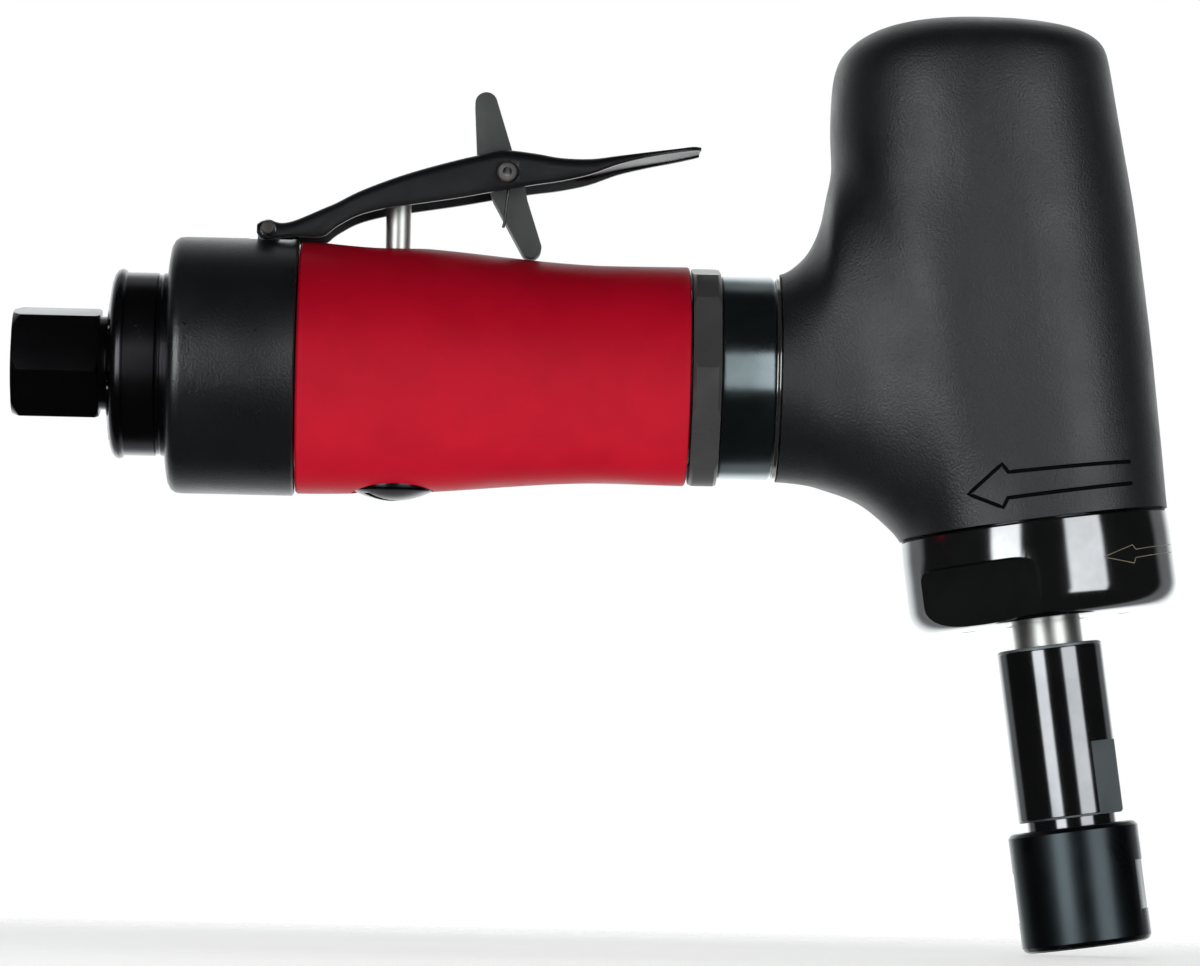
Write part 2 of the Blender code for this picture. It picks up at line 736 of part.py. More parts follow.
def safety_latch():
    """Two-ended latch: a thumb tab above the lever and a foot that stands on the grip."""
    tab = arc((-3.8, 12.4), 1.9, 18.0, 184.0, 8)
    left_side = [(-5.2, 3.8), (-3.6, -0.5), (-2.2, -4.2)]
    foot = arc((4.4, -12.3), 1.8, 205.0, 370.0, 8)
    right_side = [(3.6, -4.2), (2.9, -0.5), (0.9, 4.0)]
    outline = tab + left_side + foot + right_side
    body = plate("safety_latch", outline, LATCH_HALF_WIDTH, latch_axis, (0.0, 0.0, 0.0))
    bore = rod("latch_bore", -6.0, 6.0, LATCH_PIN_R + GAP, latch_axis, FINE_SEGMENTS, cutter=True, rotation=ALONG_Y)
    combine(body, bore)
    finish_part(body, (0.075, 0.08, 0.08), 0.5, 0.2)


def latch_spring():
    """Torsion spring on the latch pin, beside the latch."""
    coil_r = 2.15
    turns = 2
    per_turn = 10
    start = LATCH_HALF_WIDTH + 0.75
    rise = 1.45
    points = [(7.5 * math.cos(0.35), -start, 7.5 * math.sin(0.35) - 2.2)]
    for i in range(turns * per_turn + 5):
        angle = math.radians(100.0) - 2.0 * math.pi * i / per_turn
        along = start + rise * i / (turns * per_turn + 4)
        points.append((coil_r * math.cos(angle), -along, coil_r * math.sin(angle)))
    points.append((points[-1][0] - 1.0, -start - rise, -8.8))
    body = wire("latch_spring", points[1:], 0.25, latch_axis)
    finish_part(body, (0.3, 0.3, 0.3), 0.35, 1.0)


# ---- head -----------------------------------------------------------------------------------------


HEAD_STATIONS = (
    # rear edge (x, z), front edge (x, z), half width, in the handle frame
    ((153.4, -27.6), (198.3, -20.9), 22.7),
    ((152.6, -21.0), (197.6, -14.5), 22.8),
    ((149.6, -8.0), (196.3, -3.0), 23.0),
    ((146.4, 6.0), (194.9, 9.0), 23.3),
    ((143.4, 18.0), (193.3, 20.5), 23.5),
    ((140.9, 28.5), (191.8, 30.5), 23.5),
    ((139.5, 40.0), (189.8, 41.0), 23.3),
    ((139.5, 48.5), (188.2, 49.5), 22.9),
    ((140.0, 53.0), (187.4, 54.0), 22.3),
    ((141.2, 56.0), (186.7, 57.0), 21.4),
    ((143.8, 58.5), (185.6, 58.9), 19.8),
    ((147.6, 60.5), (182.8, 60.6), 16.8),
    ((153.0, 61.9), (178.0, 61.8), 12.0),
    ((159.0, 62.6), (172.0, 62.6), 6.2),
)
HEAD_SQUARENESS = 2.35


def head_section(rear, front, half_width):
    """Rounded section between the rear and front edges; the exponent makes it fuller than an ellipse."""
    middle = Vector((rear[0] + front[0], 0.0, rear[1] + front[1])) * 0.5
    reach = Vector((front[0] - rear[0], 0.0, front[1] - rear[1])) * 0.5
    points = []
    for i in range(HEAD_SEGMENTS):
        angle = 2.0 * math.pi * i / HEAD_SEGMENTS
        along = math.copysign(abs(math.cos(angle)) ** (2.0 / HEAD_SQUARENESS), math.cos(angle))
        across = math.copysign(abs(math.sin(angle)) ** (2.0 / HEAD_SQUARENESS), math.sin(angle))
        points.append(middle + reach * along + Vector((0.0, half_width * across, 0.0)))
    return points


NECK_STATIONS = (
    # along, crown, foot, half width, in the handle frame
    (NECK_START, NECK_R, -NECK_R, NECK_R),
    (133.0, 18.9, -17.9, 18.0),
    (135.3, 20.9, -18.1, 18.4),
    (136.8, 23.4, -18.3, 18.8),
    (137.9, 26.2, -18.5, 19.2),
    (138.8, 30.0, -18.8, 19.5),
    (139.5, 35.0, -19.0, 19.8),
    (143.5, 38.0, -20.2, 20.8),
    (147.0, 38.0, -22.0, 21.6),
    (150.5, 36.0, -25.0, 22.0),
    (153.2, 34.0, -27.2, 22.0),
    (158.0, 30.0, -27.0, 20.0),
)


def neck_section(x, crown, foot, half_width):
    points = []
    for i in range(HEAD_SEGMENTS):
        angle = 2.0 * math.pi * i / HEAD_SEGMENTS
        up = math.sin(angle)
        height = crown * up if up > 0 else -foot * up
        points.append((x, half_width * math.cos(angle), height))
    return points


def head_housing():
    """Composite casing: upright motor barrel, flared neck, and the bores inside them."""
    barrel = [head_section(*station) for station in HEAD_STATIONS]
    body = loft("head_housing", barrel, frame)
    neck = loft("head_neck", [neck_section(*station) for station in NECK_STATIONS], frame, cutter=True)
    combine(body, neck, "UNION")
    combine(body, block("head_seam_cut", (-60.0, -60.0, SEAM_Z - 30.0), (60.0, 60.0, SEAM_Z), head))
    motor_bore = turned(
        "motor_bore",
        [
            (SEAM_Z - 5.0, 0.0),
            (SEAM_Z - 5.0, MOTOR_BORE_R),
            (MOTOR_TOP, MOTOR_BORE_R),
            (MOTOR_TOP, BEARING_POCKET_R),
            (BEARING_POCKET_TOP, BEARING_POCKET_R),
            (BEARING_POCKET_TOP, 0.0),
        ],
        head,
        cutter=True,
    )
    combine(body, motor_bore)
    neck_bore = turned(
        "neck_bore",
        [
            (NECK_START - 1.0, 0.0),
            (NECK_START - 1.0, SPIGOT_R + GAP),
            (SPIGOT_END + GAP, SPIGOT_R + GAP),
            (SPIGOT_END + GAP, 10.0),
            (SPINDLE_X - 12.0, 10.0),
            (SPINDLE_X - 12.0, 0.0),
        ],
        frame,
        cutter=True,
        rotation=ALONG_X,
    )
    combine(body, neck_bore)
    finish_part(body, (0.032, 0.035, 0.038), 0.55, 0.0)


def motor_cylinder():
    """Motor liner: its bore is set off the spindle axis, so the gap round the rotor opens and closes."""
    body = rod("motor_cylinder", CYLINDER_BOTTOM, CYLINDER_TOP, MOTOR_R, head, 24)
    bore = rod("cylinder_bore", CYLINDER_BOTTOM - 2.0, CYLINDER_TOP + 2.0, CYLINDER_BORE_R, head, 24,
               cutter=True, offset=(0.0, CYLINDER_OFFSET, 0.0))
    combine(body, bore)
    finish_part(body, (0.5, 0.5, 0.5), 0.3, 1.0)


def motor_plates_and_bearings():
    steel = (0.55, 0.55, 0.55)
    shaft_bore = SHAFT_R + GAP
    journal_bore = JOURNAL_R + GAP
    rings = (
        ("rear_end_plate", CYLINDER_TOP + GAP, MOTOR_TOP - GAP, journal_bore, MOTOR_R),
        ("rear_bearing", MOTOR_TOP, BEARING_POCKET_TOP - GAP, journal_bore, BEARING_POCKET_R - GAP),
        ("front_end_plate", -12.5, CYLINDER_BOTTOM - GAP, shaft_bore, MOTOR_R),
        ("front_bearing", -34.0, -13.1, shaft_bore, 14.7),
    )
    for name, low, high, inner, outer in rings:
        finish_part(ring(name, low, high, inner, outer, head, segments=FINE_SEGMENTS), steel, 0.3, 1.0)


def rotor_spindle():
    """Rotor, journals and output shaft in one piece, slotted for the vanes."""
    top = BEARING_POCKET_TOP - 1.0
    rotor_top = CYLINDER_TOP - GAP
    rotor_bottom = CYLINDER_BOTTOM + GAP
    outline = [
        (top, 0.0),
        (top, JOURNAL_R - 0.4),
        (top - 0.4, JOURNAL_R),
        (rotor_top, JOURNAL_R),
        (rotor_top, ROTOR_R),
        (rotor_bottom, ROTOR_R),
        (rotor_bottom, SHAFT_R),
        (CHUCK_TOP - 4.0, SHAFT_R),
        (CHUCK_TOP - 4.0, 0.0),
    ]
    body = turned("rotor_spindle", outline, head)
    slots = []
    for i in range(VANES):
        turn = 2.0 * math.pi * i / VANES
        half = VANE_WIDTH * 0.5 + 0.2
        slot = block(f"vane_slot_{i}", (5.8, -half, rotor_bottom - 1.0), (16.0, half, rotor_top + 1.0), head, turn)
        slots.append(slot)
        vane(i, turn, rotor_bottom + 0.2, rotor_top - 0.2)
    combine(body, joined("vane_slots", slots, head))
    finish_part(body, (0.6, 0.6, 0.6), 0.2, 1.0)


def vane(index, turn, low, high):
    half = VANE_WIDTH * 0.5
    body = block(f"vane_{index + 1}", (6.1, -half, low), (ROTOR_R, half, high), head, turn, cutter=False)
    finish_part(body, (0.12, 0.07, 0.03), 0.6, 0.0)


def nose_cap():
    """Clamp nut that closes the head, with two spanner flats and two pin holes."""
    outline = [
        (NOSE_TOP + 11.0, 15.0),
        (NOSE_TOP + 11.0, MOTOR_R),
        (NOSE_TOP, MOTOR_R),
        (NOSE_TOP, NOSE_R - 0.5),
        (NOSE_TOP - 0.5, NOSE_R - 0.1),
        (NOSE_TOP - 4.0, NOSE_R),
        (NOSE_BOTTOM + 4.6, NOSE_R),
        (NOSE_BOTTOM + 3.0, NOSE_R - 0.4),
        (NOSE_BOTTOM + 1.6, NOSE_R - 1.4),
        (NOSE_BOTTOM + 0.7, NOSE_R - 3.0),
        (NOSE_BOTTOM + 0.2, NOSE_R - 5.4),
        (NOSE_BOTTOM, NOSE_R - 8.0),
        (NOSE_BOTTOM, SHAFT_R + 0.6),
        (-34.4, SHAFT_R + 0.6),
        (-34.4, 15.0),
    ]
    body = turned("nose_cap", outline, head)
    for i in range(2):
        turn = NOSE_FLAT_TURN + math.pi * i
        flat = block(f"nose_flat_{i}", (-20.0, -40.0, NOSE_BOTTOM - 5.0), (20.0, -NOSE_FLAT, NOSE_FLAT_TOP), head, turn)
        combine(body, flat)
    for i, x in enumerate((-13.4, 13.4)):
        hole = rod(f"nose_pin_hole_{i}", NOSE_BOTTOM - 2.0, NOSE_BOTTOM + 2.5, 1.3, head, 16,
                   cutter=True, offset=(x, 0.0, 0.0))
        combine(body, hole)
    finish_part(body, (0.012, 0.012, 0.014), 0.12, 0.95)


# ---- collet chuck ---------------------------------------------------------------------------------


def collet_body():
    """Extension that carries the collet, screwed on the spindle, with two spanner flats."""
    outline = [
        (CHUCK_TOP, SHAFT_R + GAP),
        (CHUCK_TOP, CHUCK_R - 0.7),
        (CHUCK_TOP - 0.7, CHUCK_R),
        (CHUCK_SHOULDER + 0.4, CHUCK_R),
        (CHUCK_SHOULDER, CHUCK_R - 0.5),
        (CHUCK_SHOULDER, CHUCK_THREAD_R - 0.3),
        (COLLET_NUT_TOP, CHUCK_THREAD_R - 0.3),
        (COLLET_NUT_TOP, CHUCK_THREAD_R),
        (-89.0, CHUCK_THREAD_R),
        (-89.0, 6.0),
        (-66.0, 4.2),
        (-66.0, 0.0),
        (-64.0, 0.0),
        (CHUCK_TOP - 5.0, 0.0),
        (CHUCK_TOP - 5.0, SHAFT_R + GAP),
    ]
    ordered = outline[13:] + outline[:12]
    body = turned("collet_body", ordered, head)
    for i in range(2):
        turn = CHUCK_FLAT_TURN + math.pi * i
        flat = block(f"chuck_flat_{i}", (-12.0, -14.0, CHUCK_SHOULDER - 0.1), (12.0, -CHUCK_FLAT, -62.5), head, turn)
        combine(body, flat)
    finish_part(body, (0.012, 0.012, 0.015), 0.14, 0.95)


def collet():
    """Slit and tapered collet for a straight tool shank."""
    outline = [
        (-67.0, COLLET_BORE_R),
        (-67.0, 3.9),
        (-88.6, 5.5),
        (-93.6, 5.5),
        (-95.0, 4.5),
        (-95.0, COLLET_BORE_R + COLLET_LEAD_IN),
        (-95.0 + COLLET_LEAD_IN, COLLET_BORE_R),
    ]
    body = turned("collet", outline, head, FINE_SEGMENTS)
    for i in range(COLLET_SLITS // 2):
        turn = math.pi * i / (COLLET_SLITS // 2) + 0.35
        slit = block(f"collet_slit_{i}", (-8.0, -0.35, -97.0), (8.0, 0.35, -71.0), head, turn)
        combine(body, slit)
    finish_part(body, (0.5, 0.5, 0.5), 0.3, 1.0)


def collet_nut():
    """Nut that draws the collet in, with two spanner notches."""
    outline = [
        (COLLET_NUT_TOP - GAP, CHUCK_THREAD_R + GAP),
        (COLLET_NUT_TOP - GAP, COLLET_NUT_R - 0.8),
        (COLLET_NUT_TOP - GAP - 0.8, COLLET_NUT_R),
        (COLLET_NUT_BOTTOM + 1.0, COLLET_NUT_R),
        (COLLET_NUT_BOTTOM, COLLET_NUT_R - 1.0),
        (COLLET_NUT_BOTTOM, 5.0),
        (-95.3, 5.0),
        (-93.6, 6.0),
        (-90.0, 6.0),
        (-90.0, CHUCK_THREAD_R + GAP),
    ]
    body = turned("collet_nut", outline, head)
    for i in range(2):
        turn = math.radians(90.0 - 6.0) + math.pi * i
        notch = block(f"nut_notch_{i}", (-12.0, -14.0, -91.4), (12.0, -COLLET_NUT_FLAT, -81.6), head, turn)
        combine(body, notch)
    finish_part(body, (0.03, 0.032, 0.035), 0.4, 0.7)


def centre_tool():
    """Move the tool's frame so that the middle of the overall box is the world origin."""
    bpy.context.view_layer.update()
    graph = bpy.context.evaluated_depsgraph_get()
    corners = []
    for obj in parts.objects:
        if obj.type == "MESH":
            solid = obj.evaluated_get(graph)
            mesh = solid.to_mesh()
            corners += [solid.matrix_world @ vertex.co for vertex in mesh.vertices]
            solid.to_mesh_clear()
    middle = [(min(c[i] for c in corners) + max(c[i] for c in corners)) * 0.5 for i in range(3)]
    frame.location = -Vector(middle)
    bpy.context.view_layer.update()


clear_scene()
parts = make_collection("die_grinder")
cutters = make_collection("cutters")
frame = make_empty("handle_frame", (0.0, 0.0, 0.0))
head = make_empty("spindle_axis", (SPINDLE_X, 0.0, 0.0), frame, -HEAD_TILT)
valve_axis = make_empty("valve_axis", (VALVE_X, 0.0, 0.0), frame)
lever_axis = make_empty("lever_axis", LEVER_PIVOT, frame)
latch_axis = make_empty("latch_axis", LATCH_PIVOT, frame)

inlet_bushing()
inlet_screen()
exhaust_deflector()
muffler_felt()
rear_cover()
handle_body()
grip_sleeve()
lock_nut()
neck_rings()
valve_stem()
valve_fittings()
valve_spring()
valve_plug()
throttle_lever()
lever_pin()
latch_pin()
safety_latch()
latch_spring()
head_housing()
motor_cylinder()
motor_plates_and_bearings()
rotor_spindle()
nose_cap()
collet_body()
collet()
collet_nut()
centre_tool()
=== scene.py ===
"""Looks of the die grinder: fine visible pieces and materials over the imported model, in a plain studio."""
import json
import math

import bmesh
import bpy
from mathutils import Matrix, Quaternion, Vector
from mathutils.bvhtree import BVHTree


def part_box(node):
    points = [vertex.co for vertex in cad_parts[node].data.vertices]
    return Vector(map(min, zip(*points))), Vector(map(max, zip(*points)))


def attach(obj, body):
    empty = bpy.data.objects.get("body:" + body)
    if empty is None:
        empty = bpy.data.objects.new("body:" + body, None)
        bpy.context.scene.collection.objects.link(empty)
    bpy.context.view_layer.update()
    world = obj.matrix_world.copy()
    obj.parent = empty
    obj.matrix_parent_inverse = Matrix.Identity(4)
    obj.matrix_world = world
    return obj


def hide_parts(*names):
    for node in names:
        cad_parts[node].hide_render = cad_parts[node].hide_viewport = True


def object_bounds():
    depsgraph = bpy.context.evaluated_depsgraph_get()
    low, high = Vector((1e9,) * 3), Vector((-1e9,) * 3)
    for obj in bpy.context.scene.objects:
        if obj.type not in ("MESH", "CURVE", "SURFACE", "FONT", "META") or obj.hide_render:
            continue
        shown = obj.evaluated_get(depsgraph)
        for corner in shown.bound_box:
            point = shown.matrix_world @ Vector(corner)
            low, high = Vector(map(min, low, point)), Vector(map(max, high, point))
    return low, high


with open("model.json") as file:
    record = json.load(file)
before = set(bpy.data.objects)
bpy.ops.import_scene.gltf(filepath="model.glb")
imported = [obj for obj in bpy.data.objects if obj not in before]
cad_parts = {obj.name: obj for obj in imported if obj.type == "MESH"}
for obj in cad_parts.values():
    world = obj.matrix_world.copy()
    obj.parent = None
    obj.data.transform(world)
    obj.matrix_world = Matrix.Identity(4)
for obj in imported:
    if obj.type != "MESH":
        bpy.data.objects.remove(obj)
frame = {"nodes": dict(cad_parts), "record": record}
cad_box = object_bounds()

# ---- places, in millimetres inside the two frames below -------------------------------------------

MM = 0.001
joints = {joint["name"]: joint for joint in frame["record"]["behaviour"]["joints"]}


def middle_of(node):
    low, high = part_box(node)
    return (Vector(low) + Vector(high)) * 0.5


def joint_place(name):
    return Vector(joints[name]["pos_m"])


# Handle frame: X along the handle from the inlet face, Z up. Head frame: Z up along the spindle.
HANDLE = Matrix.Translation((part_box("inlet_bushing")[0][0], 0.0, joint_place("spindle_spin").z))
down = Vector(joints["spindle_spin"]["axis"])
lean = math.atan2(down.x, -down.z)
HEAD = Matrix.Translation(joint_place("spindle_spin")) @ Matrix.Rotation(-lean, 4, "Y")
LEVER = Matrix.Translation(joint_place("lever_press"))
LATCH = Matrix.Translation(joint_place("latch_release"))
VALVE = HANDLE @ Matrix.Translation((middle_of("valve_stem").x - HANDLE.translation.x, 0.0, 0.0))
ALONG_X = Matrix.Rotation(math.radians(90.0), 4, "Y")
ALONG_Y = Matrix.Rotation(math.radians(-90.0), 4, "X")
ROUND = 96  # sides of a full turn

lever_at = (LEVER.translation - HANDLE.translation) / MM
latch_at = (LATCH.translation - HANDLE.translation) / MM
latch_in_lever = latch_at - lever_at


# ---- mesh tools -----------------------------------------------------------------------------------


def mesh_object(name, shape, place):
    """Object from a bmesh in millimetres, set at a place."""
    mesh = bpy.data.meshes.new(name)
    bmesh.ops.scale(shape, vec=(MM, MM, MM), verts=shape.verts)
    bmesh.ops.recalc_face_normals(shape, faces=shape.faces)
    shape.to_mesh(mesh)
    shape.free()
    obj = bpy.data.objects.new(name, mesh)
    obj.matrix_world = place
    bpy.context.scene.collection.objects.link(obj)
    return obj


def bake(obj):
    """Replace the object's mesh with its evaluated one."""
    graph = bpy.context.evaluated_depsgraph_get()
    mesh = bpy.data.meshes.new_from_object(obj.evaluated_get(graph))
    obj.modifiers.clear()
    obj.data = mesh
    mesh.name = obj.name
    return obj


def carve(obj, tool, operation="DIFFERENCE"):
    """Cut, join or intersect with a tool object, and remove the tool."""
    modifier = obj.modifiers.new("carve", "BOOLEAN")
    modifier.operation = operation
    modifier.object = tool
    bake(obj)
    bpy.data.objects.remove(tool, do_unlink=True)
    return obj


def soften(obj, width, segments=3, angle=32.0):
    """Round the edges that are sharper than an angle."""
    modifier = obj.modifiers.new("soften", "BEVEL")
    modifier.width = width * MM
    modifier.segments = segments
    modifier.limit_method = "ANGLE"
    modifier.angle_limit = math.radians(angle)
    modifier.use_clamp_overlap = True
    modifier.harden_normals = False
    return bake(obj)


def smooth_shade(obj, angle=40.0):
    obj.data.shade_smooth()
    obj.data.set_sharp_from_angle(angle=math.radians(angle))


def lathe(name, outline, place, steps=ROUND):
    """Turn (height, radius) points about the local Z axis; ends at radius 0 close on the axis."""
    shape = bmesh.new()
    turns = [2.0 * math.pi * i / steps for i in range(steps)]
    rows = []
    for height, radius in outline:
        if radius == 0.0:
            points = [(0.0, 0.0, height)]
        else:
            points = [(radius * math.cos(a), radius * math.sin(a), height) for a in turns]
        rows.append([shape.verts.new(point) for point in points])
    pairs = list(zip(rows, rows[1:]))
    if outline[0][1] > 0.0:
        pairs.append((rows[-1], rows[0]))
    for first, second in pairs:
        for i in range(steps):
            j = (i + 1) % steps
            corners = [first[i % len(first)], first[j % len(first)]]
            corners += [second[j % len(second)], second[i % len(second)]]
            unique = list(dict.fromkeys(corners))
            if len(unique) > 2:
                shape.faces.new(unique)
    return mesh_object(name, shape, place)


def ring(name, low, high, inner, outer, place, steps=ROUND):
    return lathe(name, [(low, inner), (low, outer), (high, outer), (high, inner)], place, steps)


def rod(name, low, high, radius, place, steps=48):
    return lathe(name, [(low, 0.0), (low, radius), (high, radius), (high, 0.0)], place, steps)


def block(name, low, high, place):
    shape = bmesh.new()
    bmesh.ops.create_cube(shape, size=1.0)
    low, high = Vector(low), Vector(high)
    bmesh.ops.scale(shape, vec=high - low, verts=shape.verts)
    bmesh.ops.translate(shape, vec=(high + low) * 0.5, verts=shape.verts)
    return mesh_object(name, shape, place)


def skin(name, sections, place):
    """Loft through rings of equal length, capped at both ends."""
    shape = bmesh.new()
    rows = [[shape.verts.new(point) for point in section] for section in sections]
    for first, second in zip(rows, rows[1:]):
        for i in range(len(first)):
            j = (i + 1) % len(first)
            shape.faces.new((first[i], first[j], second[j], second[i]))
    shape.faces.new(rows[0])
    shape.faces.new(rows[-1])
    return mesh_object(name, shape, place)


def plate(name, outline, half, place):
    """Flat outline of (x, z) points, as thick as twice half along Y."""
    return skin(name, [[(x, y, z) for x, z in outline] for y in (-half, half)], place)


def tube(name, points, radius, place, sides=10):
    """Round wire through points, with closed ends."""
    rows = []
    points = [Vector(point) for point in points]
    side = None
    for i, point in enumerate(points):
        before = points[max(i - 1, 0)]
        after = points[min(i + 1, len(points) - 1)]
        along = (after - before).normalized()
        if side is None:
            side = along.orthogonal().normalized()
        side = (side - along * side.dot(along)).normalized()
        other = along.cross(side)
        turns = [2.0 * math.pi * k / sides for k in range(sides)]
        rows.append([point + (side * math.cos(a) + other * math.sin(a)) * radius for a in turns])
    return skin(name, rows, place)


def arc(centre, radius, start, end, steps):
    """Points round a centre, from one angle in degrees to another."""
    angles = [math.radians(start + (end - start) * i / steps) for i in range(steps + 1)]
    return [(centre[0] + radius * math.cos(a), centre[1] + radius * math.sin(a)) for a in angles]


def catmull_rom(a, b, c, d, t):
    """Number a share t of the way from b to c, on a curve through all four."""
    square = (2 * a - 5 * b + 4 * c - d) * t * t
    cube = (3 * b - a - 3 * c + d) * t ** 3
    return 0.5 * (2 * b + (c - a) * t + square + cube)


def flowing(rows, per_span):
    """Rows of numbers run through a Catmull-Rom curve, with per_span steps between each pair."""
    result = []
    last = len(rows) - 1
    for i in range(last):
        near = (rows[max(i - 1, 0)], rows[i], rows[i + 1], rows[min(i + 2, last)])
        for k in range(per_span):
            result.append(tuple(catmull_rom(*four, k / per_span) for four in zip(*near)))
    result.append(tuple(rows[-1]))
    return result


def hexagon(corner_radius, turn):
    """Six (x, y) corners, the first one turned by some degrees from the X axis."""
    angles = [math.radians(60.0 * k + turn) for k in range(6)]
    return [(corner_radius * math.cos(a), corner_radius * math.sin(a)) for a in angles]


def turned_about_z(place, degrees):
    return place @ Matrix.Rotation(math.radians(degrees), 4, "Z")


# ---- materials ------------------------------------------------------------------------------------


class Nodes:
    """A short way to add and join shader nodes."""

    # sockets of a Mix node, which keeps a set for each kind of data
    FACTOR = 0
    NUMBER_INPUTS = (2, 3)
    NUMBER_OUTPUT = 0
    COLOR_INPUTS = (6, 7)
    COLOR_OUTPUT = 2

    def __init__(self, name):
        self.material = bpy.data.materials.new(name)
        self.material.use_nodes = True
        self.tree = self.material.node_tree
        self.shader = self.tree.nodes["Principled BSDF"]

    def add(self, kind, **values):
        node = self.tree.nodes.new("ShaderNode" + kind)
        for key, value in values.items():
            if hasattr(node, key):
                setattr(node, key, value)
            else:
                node.inputs[key.replace("_", " ")].default_value = value
        return node

    def link(self, source, target):
        self.tree.links.new(source, target)

    def ramp(self, source, low, high, first, last):
        node = self.add("MapRange")
        node.inputs["From Min"].default_value = low
        node.inputs["From Max"].default_value = high
        node.inputs["To Min"].default_value = first
        node.inputs["To Max"].default_value = last
        self.link(source, node.inputs["Value"])
        return node.outputs["Result"]

    def mix(self, factor, first, second):
        node = self.add("Mix", data_type="RGBA")
        for socket, value in zip(self.COLOR_INPUTS, (first, second)):
            if isinstance(value, tuple):
                node.inputs[socket].default_value = (*value, 1.0)
            else:
                self.link(value, node.inputs[socket])
        self.link(factor, node.inputs[self.FACTOR])
        return node.outputs[self.COLOR_OUTPUT]

    def blend(self, factor, first, second):
        """Number that goes from a first socket to a second value."""
        node = self.add("Mix", data_type="FLOAT")
        from_socket, to_socket = self.NUMBER_INPUTS
        self.link(factor, node.inputs[self.FACTOR])
        self.link(first, node.inputs[from_socket])
        node.inputs[to_socket].default_value = second
        return node.outputs[self.NUMBER_OUTPUT]

    def between_radii(self, point, low, high):
        """1 where a point's distance from the Z axis, in millimetres, is between two radii, else 0."""
        across = self.add("VectorMath", operation="MULTIPLY")
        across.inputs[1].default_value = (1.0, 1.0, 0.0)
        self.link(point, across.inputs[0])
        distance = self.add("VectorMath", operation="LENGTH")
        self.link(across.outputs["Vector"], distance.inputs[0])
        middle = (low + high) / 2.0 * MM
        half = (high - low) / 2.0 * MM
        edge = 0.02 * MM
        off = self.add("Math", operation="SUBTRACT")
        off.inputs[1].default_value = middle
        self.link(distance.outputs["Value"], off.inputs[0])
        size = self.add("Math", operation="ABSOLUTE")
        self.link(off.outputs["Value"], size.inputs[0])
        return self.ramp(size.outputs["Value"], half - edge, half + edge, 1.0, 0.0)


MILLED_COLOR = (0.6, 0.67, 0.7)
MILLED_ROUGHNESS = 0.62


def finish(name, color, roughness, metallic=0.0, grain=0.5, grain_size=0.5, relief=0.02, mottle=0.12,
           edge_wear_and_highlight=0.3, edge_wear_and_highlight_color=None, streaks=None, specular=0.5, turned=0.0, ior=1.5, milled=None):
    """Finish with fine grain, uneven tone and roughness, and edges made lighter, as wear and on some
    finishes partly as a painted highlight.

    grain_size and relief are in millimetres; streaks gives the stretch of brushed or drawn marks.
    turned is how far tool marks round the local Z axis spread a reflection along that axis.
    milled gives the radii round that axis between which flats have been cut and are left duller.
    """
    n = Nodes(name)
    shader = n.shader
    coords = n.add("TexCoord")
    mapping = n.add("Mapping")
    n.link(coords.outputs["Object"], mapping.inputs["Vector"])
    mapping.inputs["Scale"].default_value = streaks or (1.0, 1.0, 1.0)
    fine = n.add("TexNoise", Scale=1.0 / (grain_size * MM), Detail=3.0, Roughness=0.6)
    n.link(mapping.outputs["Vector"], fine.inputs["Vector"])
    broad = n.add("TexNoise", Scale=90.0, Detail=4.0, Roughness=0.55)
    n.link(coords.outputs["Object"], broad.inputs["Vector"])

    deep = tuple(c * (1.0 - mottle) for c in color)
    light = tuple(min(1.0, c * (1.0 + mottle)) for c in color)
    tone = n.mix(n.ramp(broad.outputs["Fac"], 0.35, 0.65, 0.0, 1.0), deep, light)
    speckle = tuple(min(1.0, c * (1.0 + grain)) for c in color)
    tone = n.mix(n.ramp(fine.outputs["Fac"], 0.5, 0.75, 0.0, grain), tone, speckle)

    geometry = n.add("NewGeometry")
    # edges made lighter by pointiness: wear, and on the lock nut's finish also a painted highlight along its
    # chamfers
    edge = n.ramp(geometry.outputs["Pointiness"], 0.52, 0.6, 0.0, edge_wear_and_highlight)
    broken = n.add("Math", operation="MULTIPLY")
    n.link(edge, broken.inputs[0])
    n.link(n.ramp(broad.outputs["Fac"], 0.4, 0.6, 0.2, 1.0), broken.inputs[1])
    worn_and_highlit_edge = edge_wear_and_highlight_color or tuple(min(1.0, c * 2.2 + 0.02) for c in color)
    tone = n.mix(broken.outputs["Value"], tone, worn_and_highlit_edge)
    rough = n.ramp(broad.outputs["Fac"], 0.3, 0.7, roughness * 0.85, min(1.0, roughness * 1.15))
    if milled:
        flat = n.between_radii(coords.outputs["Object"], *milled)
        tone = n.mix(flat, tone, MILLED_COLOR)
        rough = n.blend(flat, rough, MILLED_ROUGHNESS)
    n.link(tone, shader.inputs["Base Color"])
    n.link(rough, shader.inputs["Roughness"])
    shader.inputs["Metallic"].default_value = metallic
    shader.inputs["Specular IOR Level"].default_value = specular
    shader.inputs["IOR"].default_value = ior

    if turned > 0.0:
        rounds = n.add("Tangent", direction_type="RADIAL", axis="Z")
        n.link(rounds.outputs["Tangent"], shader.inputs["Tangent"])
        shader.inputs["Anisotropic"].default_value = turned
        shader.inputs["Anisotropic Rotation"].default_value = 0.25

    bump = n.add("Bump", Strength=1.0, Distance=relief * MM)
    n.link(fine.outputs["Fac"], bump.inputs["Height"])
    n.link(bump.outputs["Normal"], shader.inputs["Normal"])
    return n.material


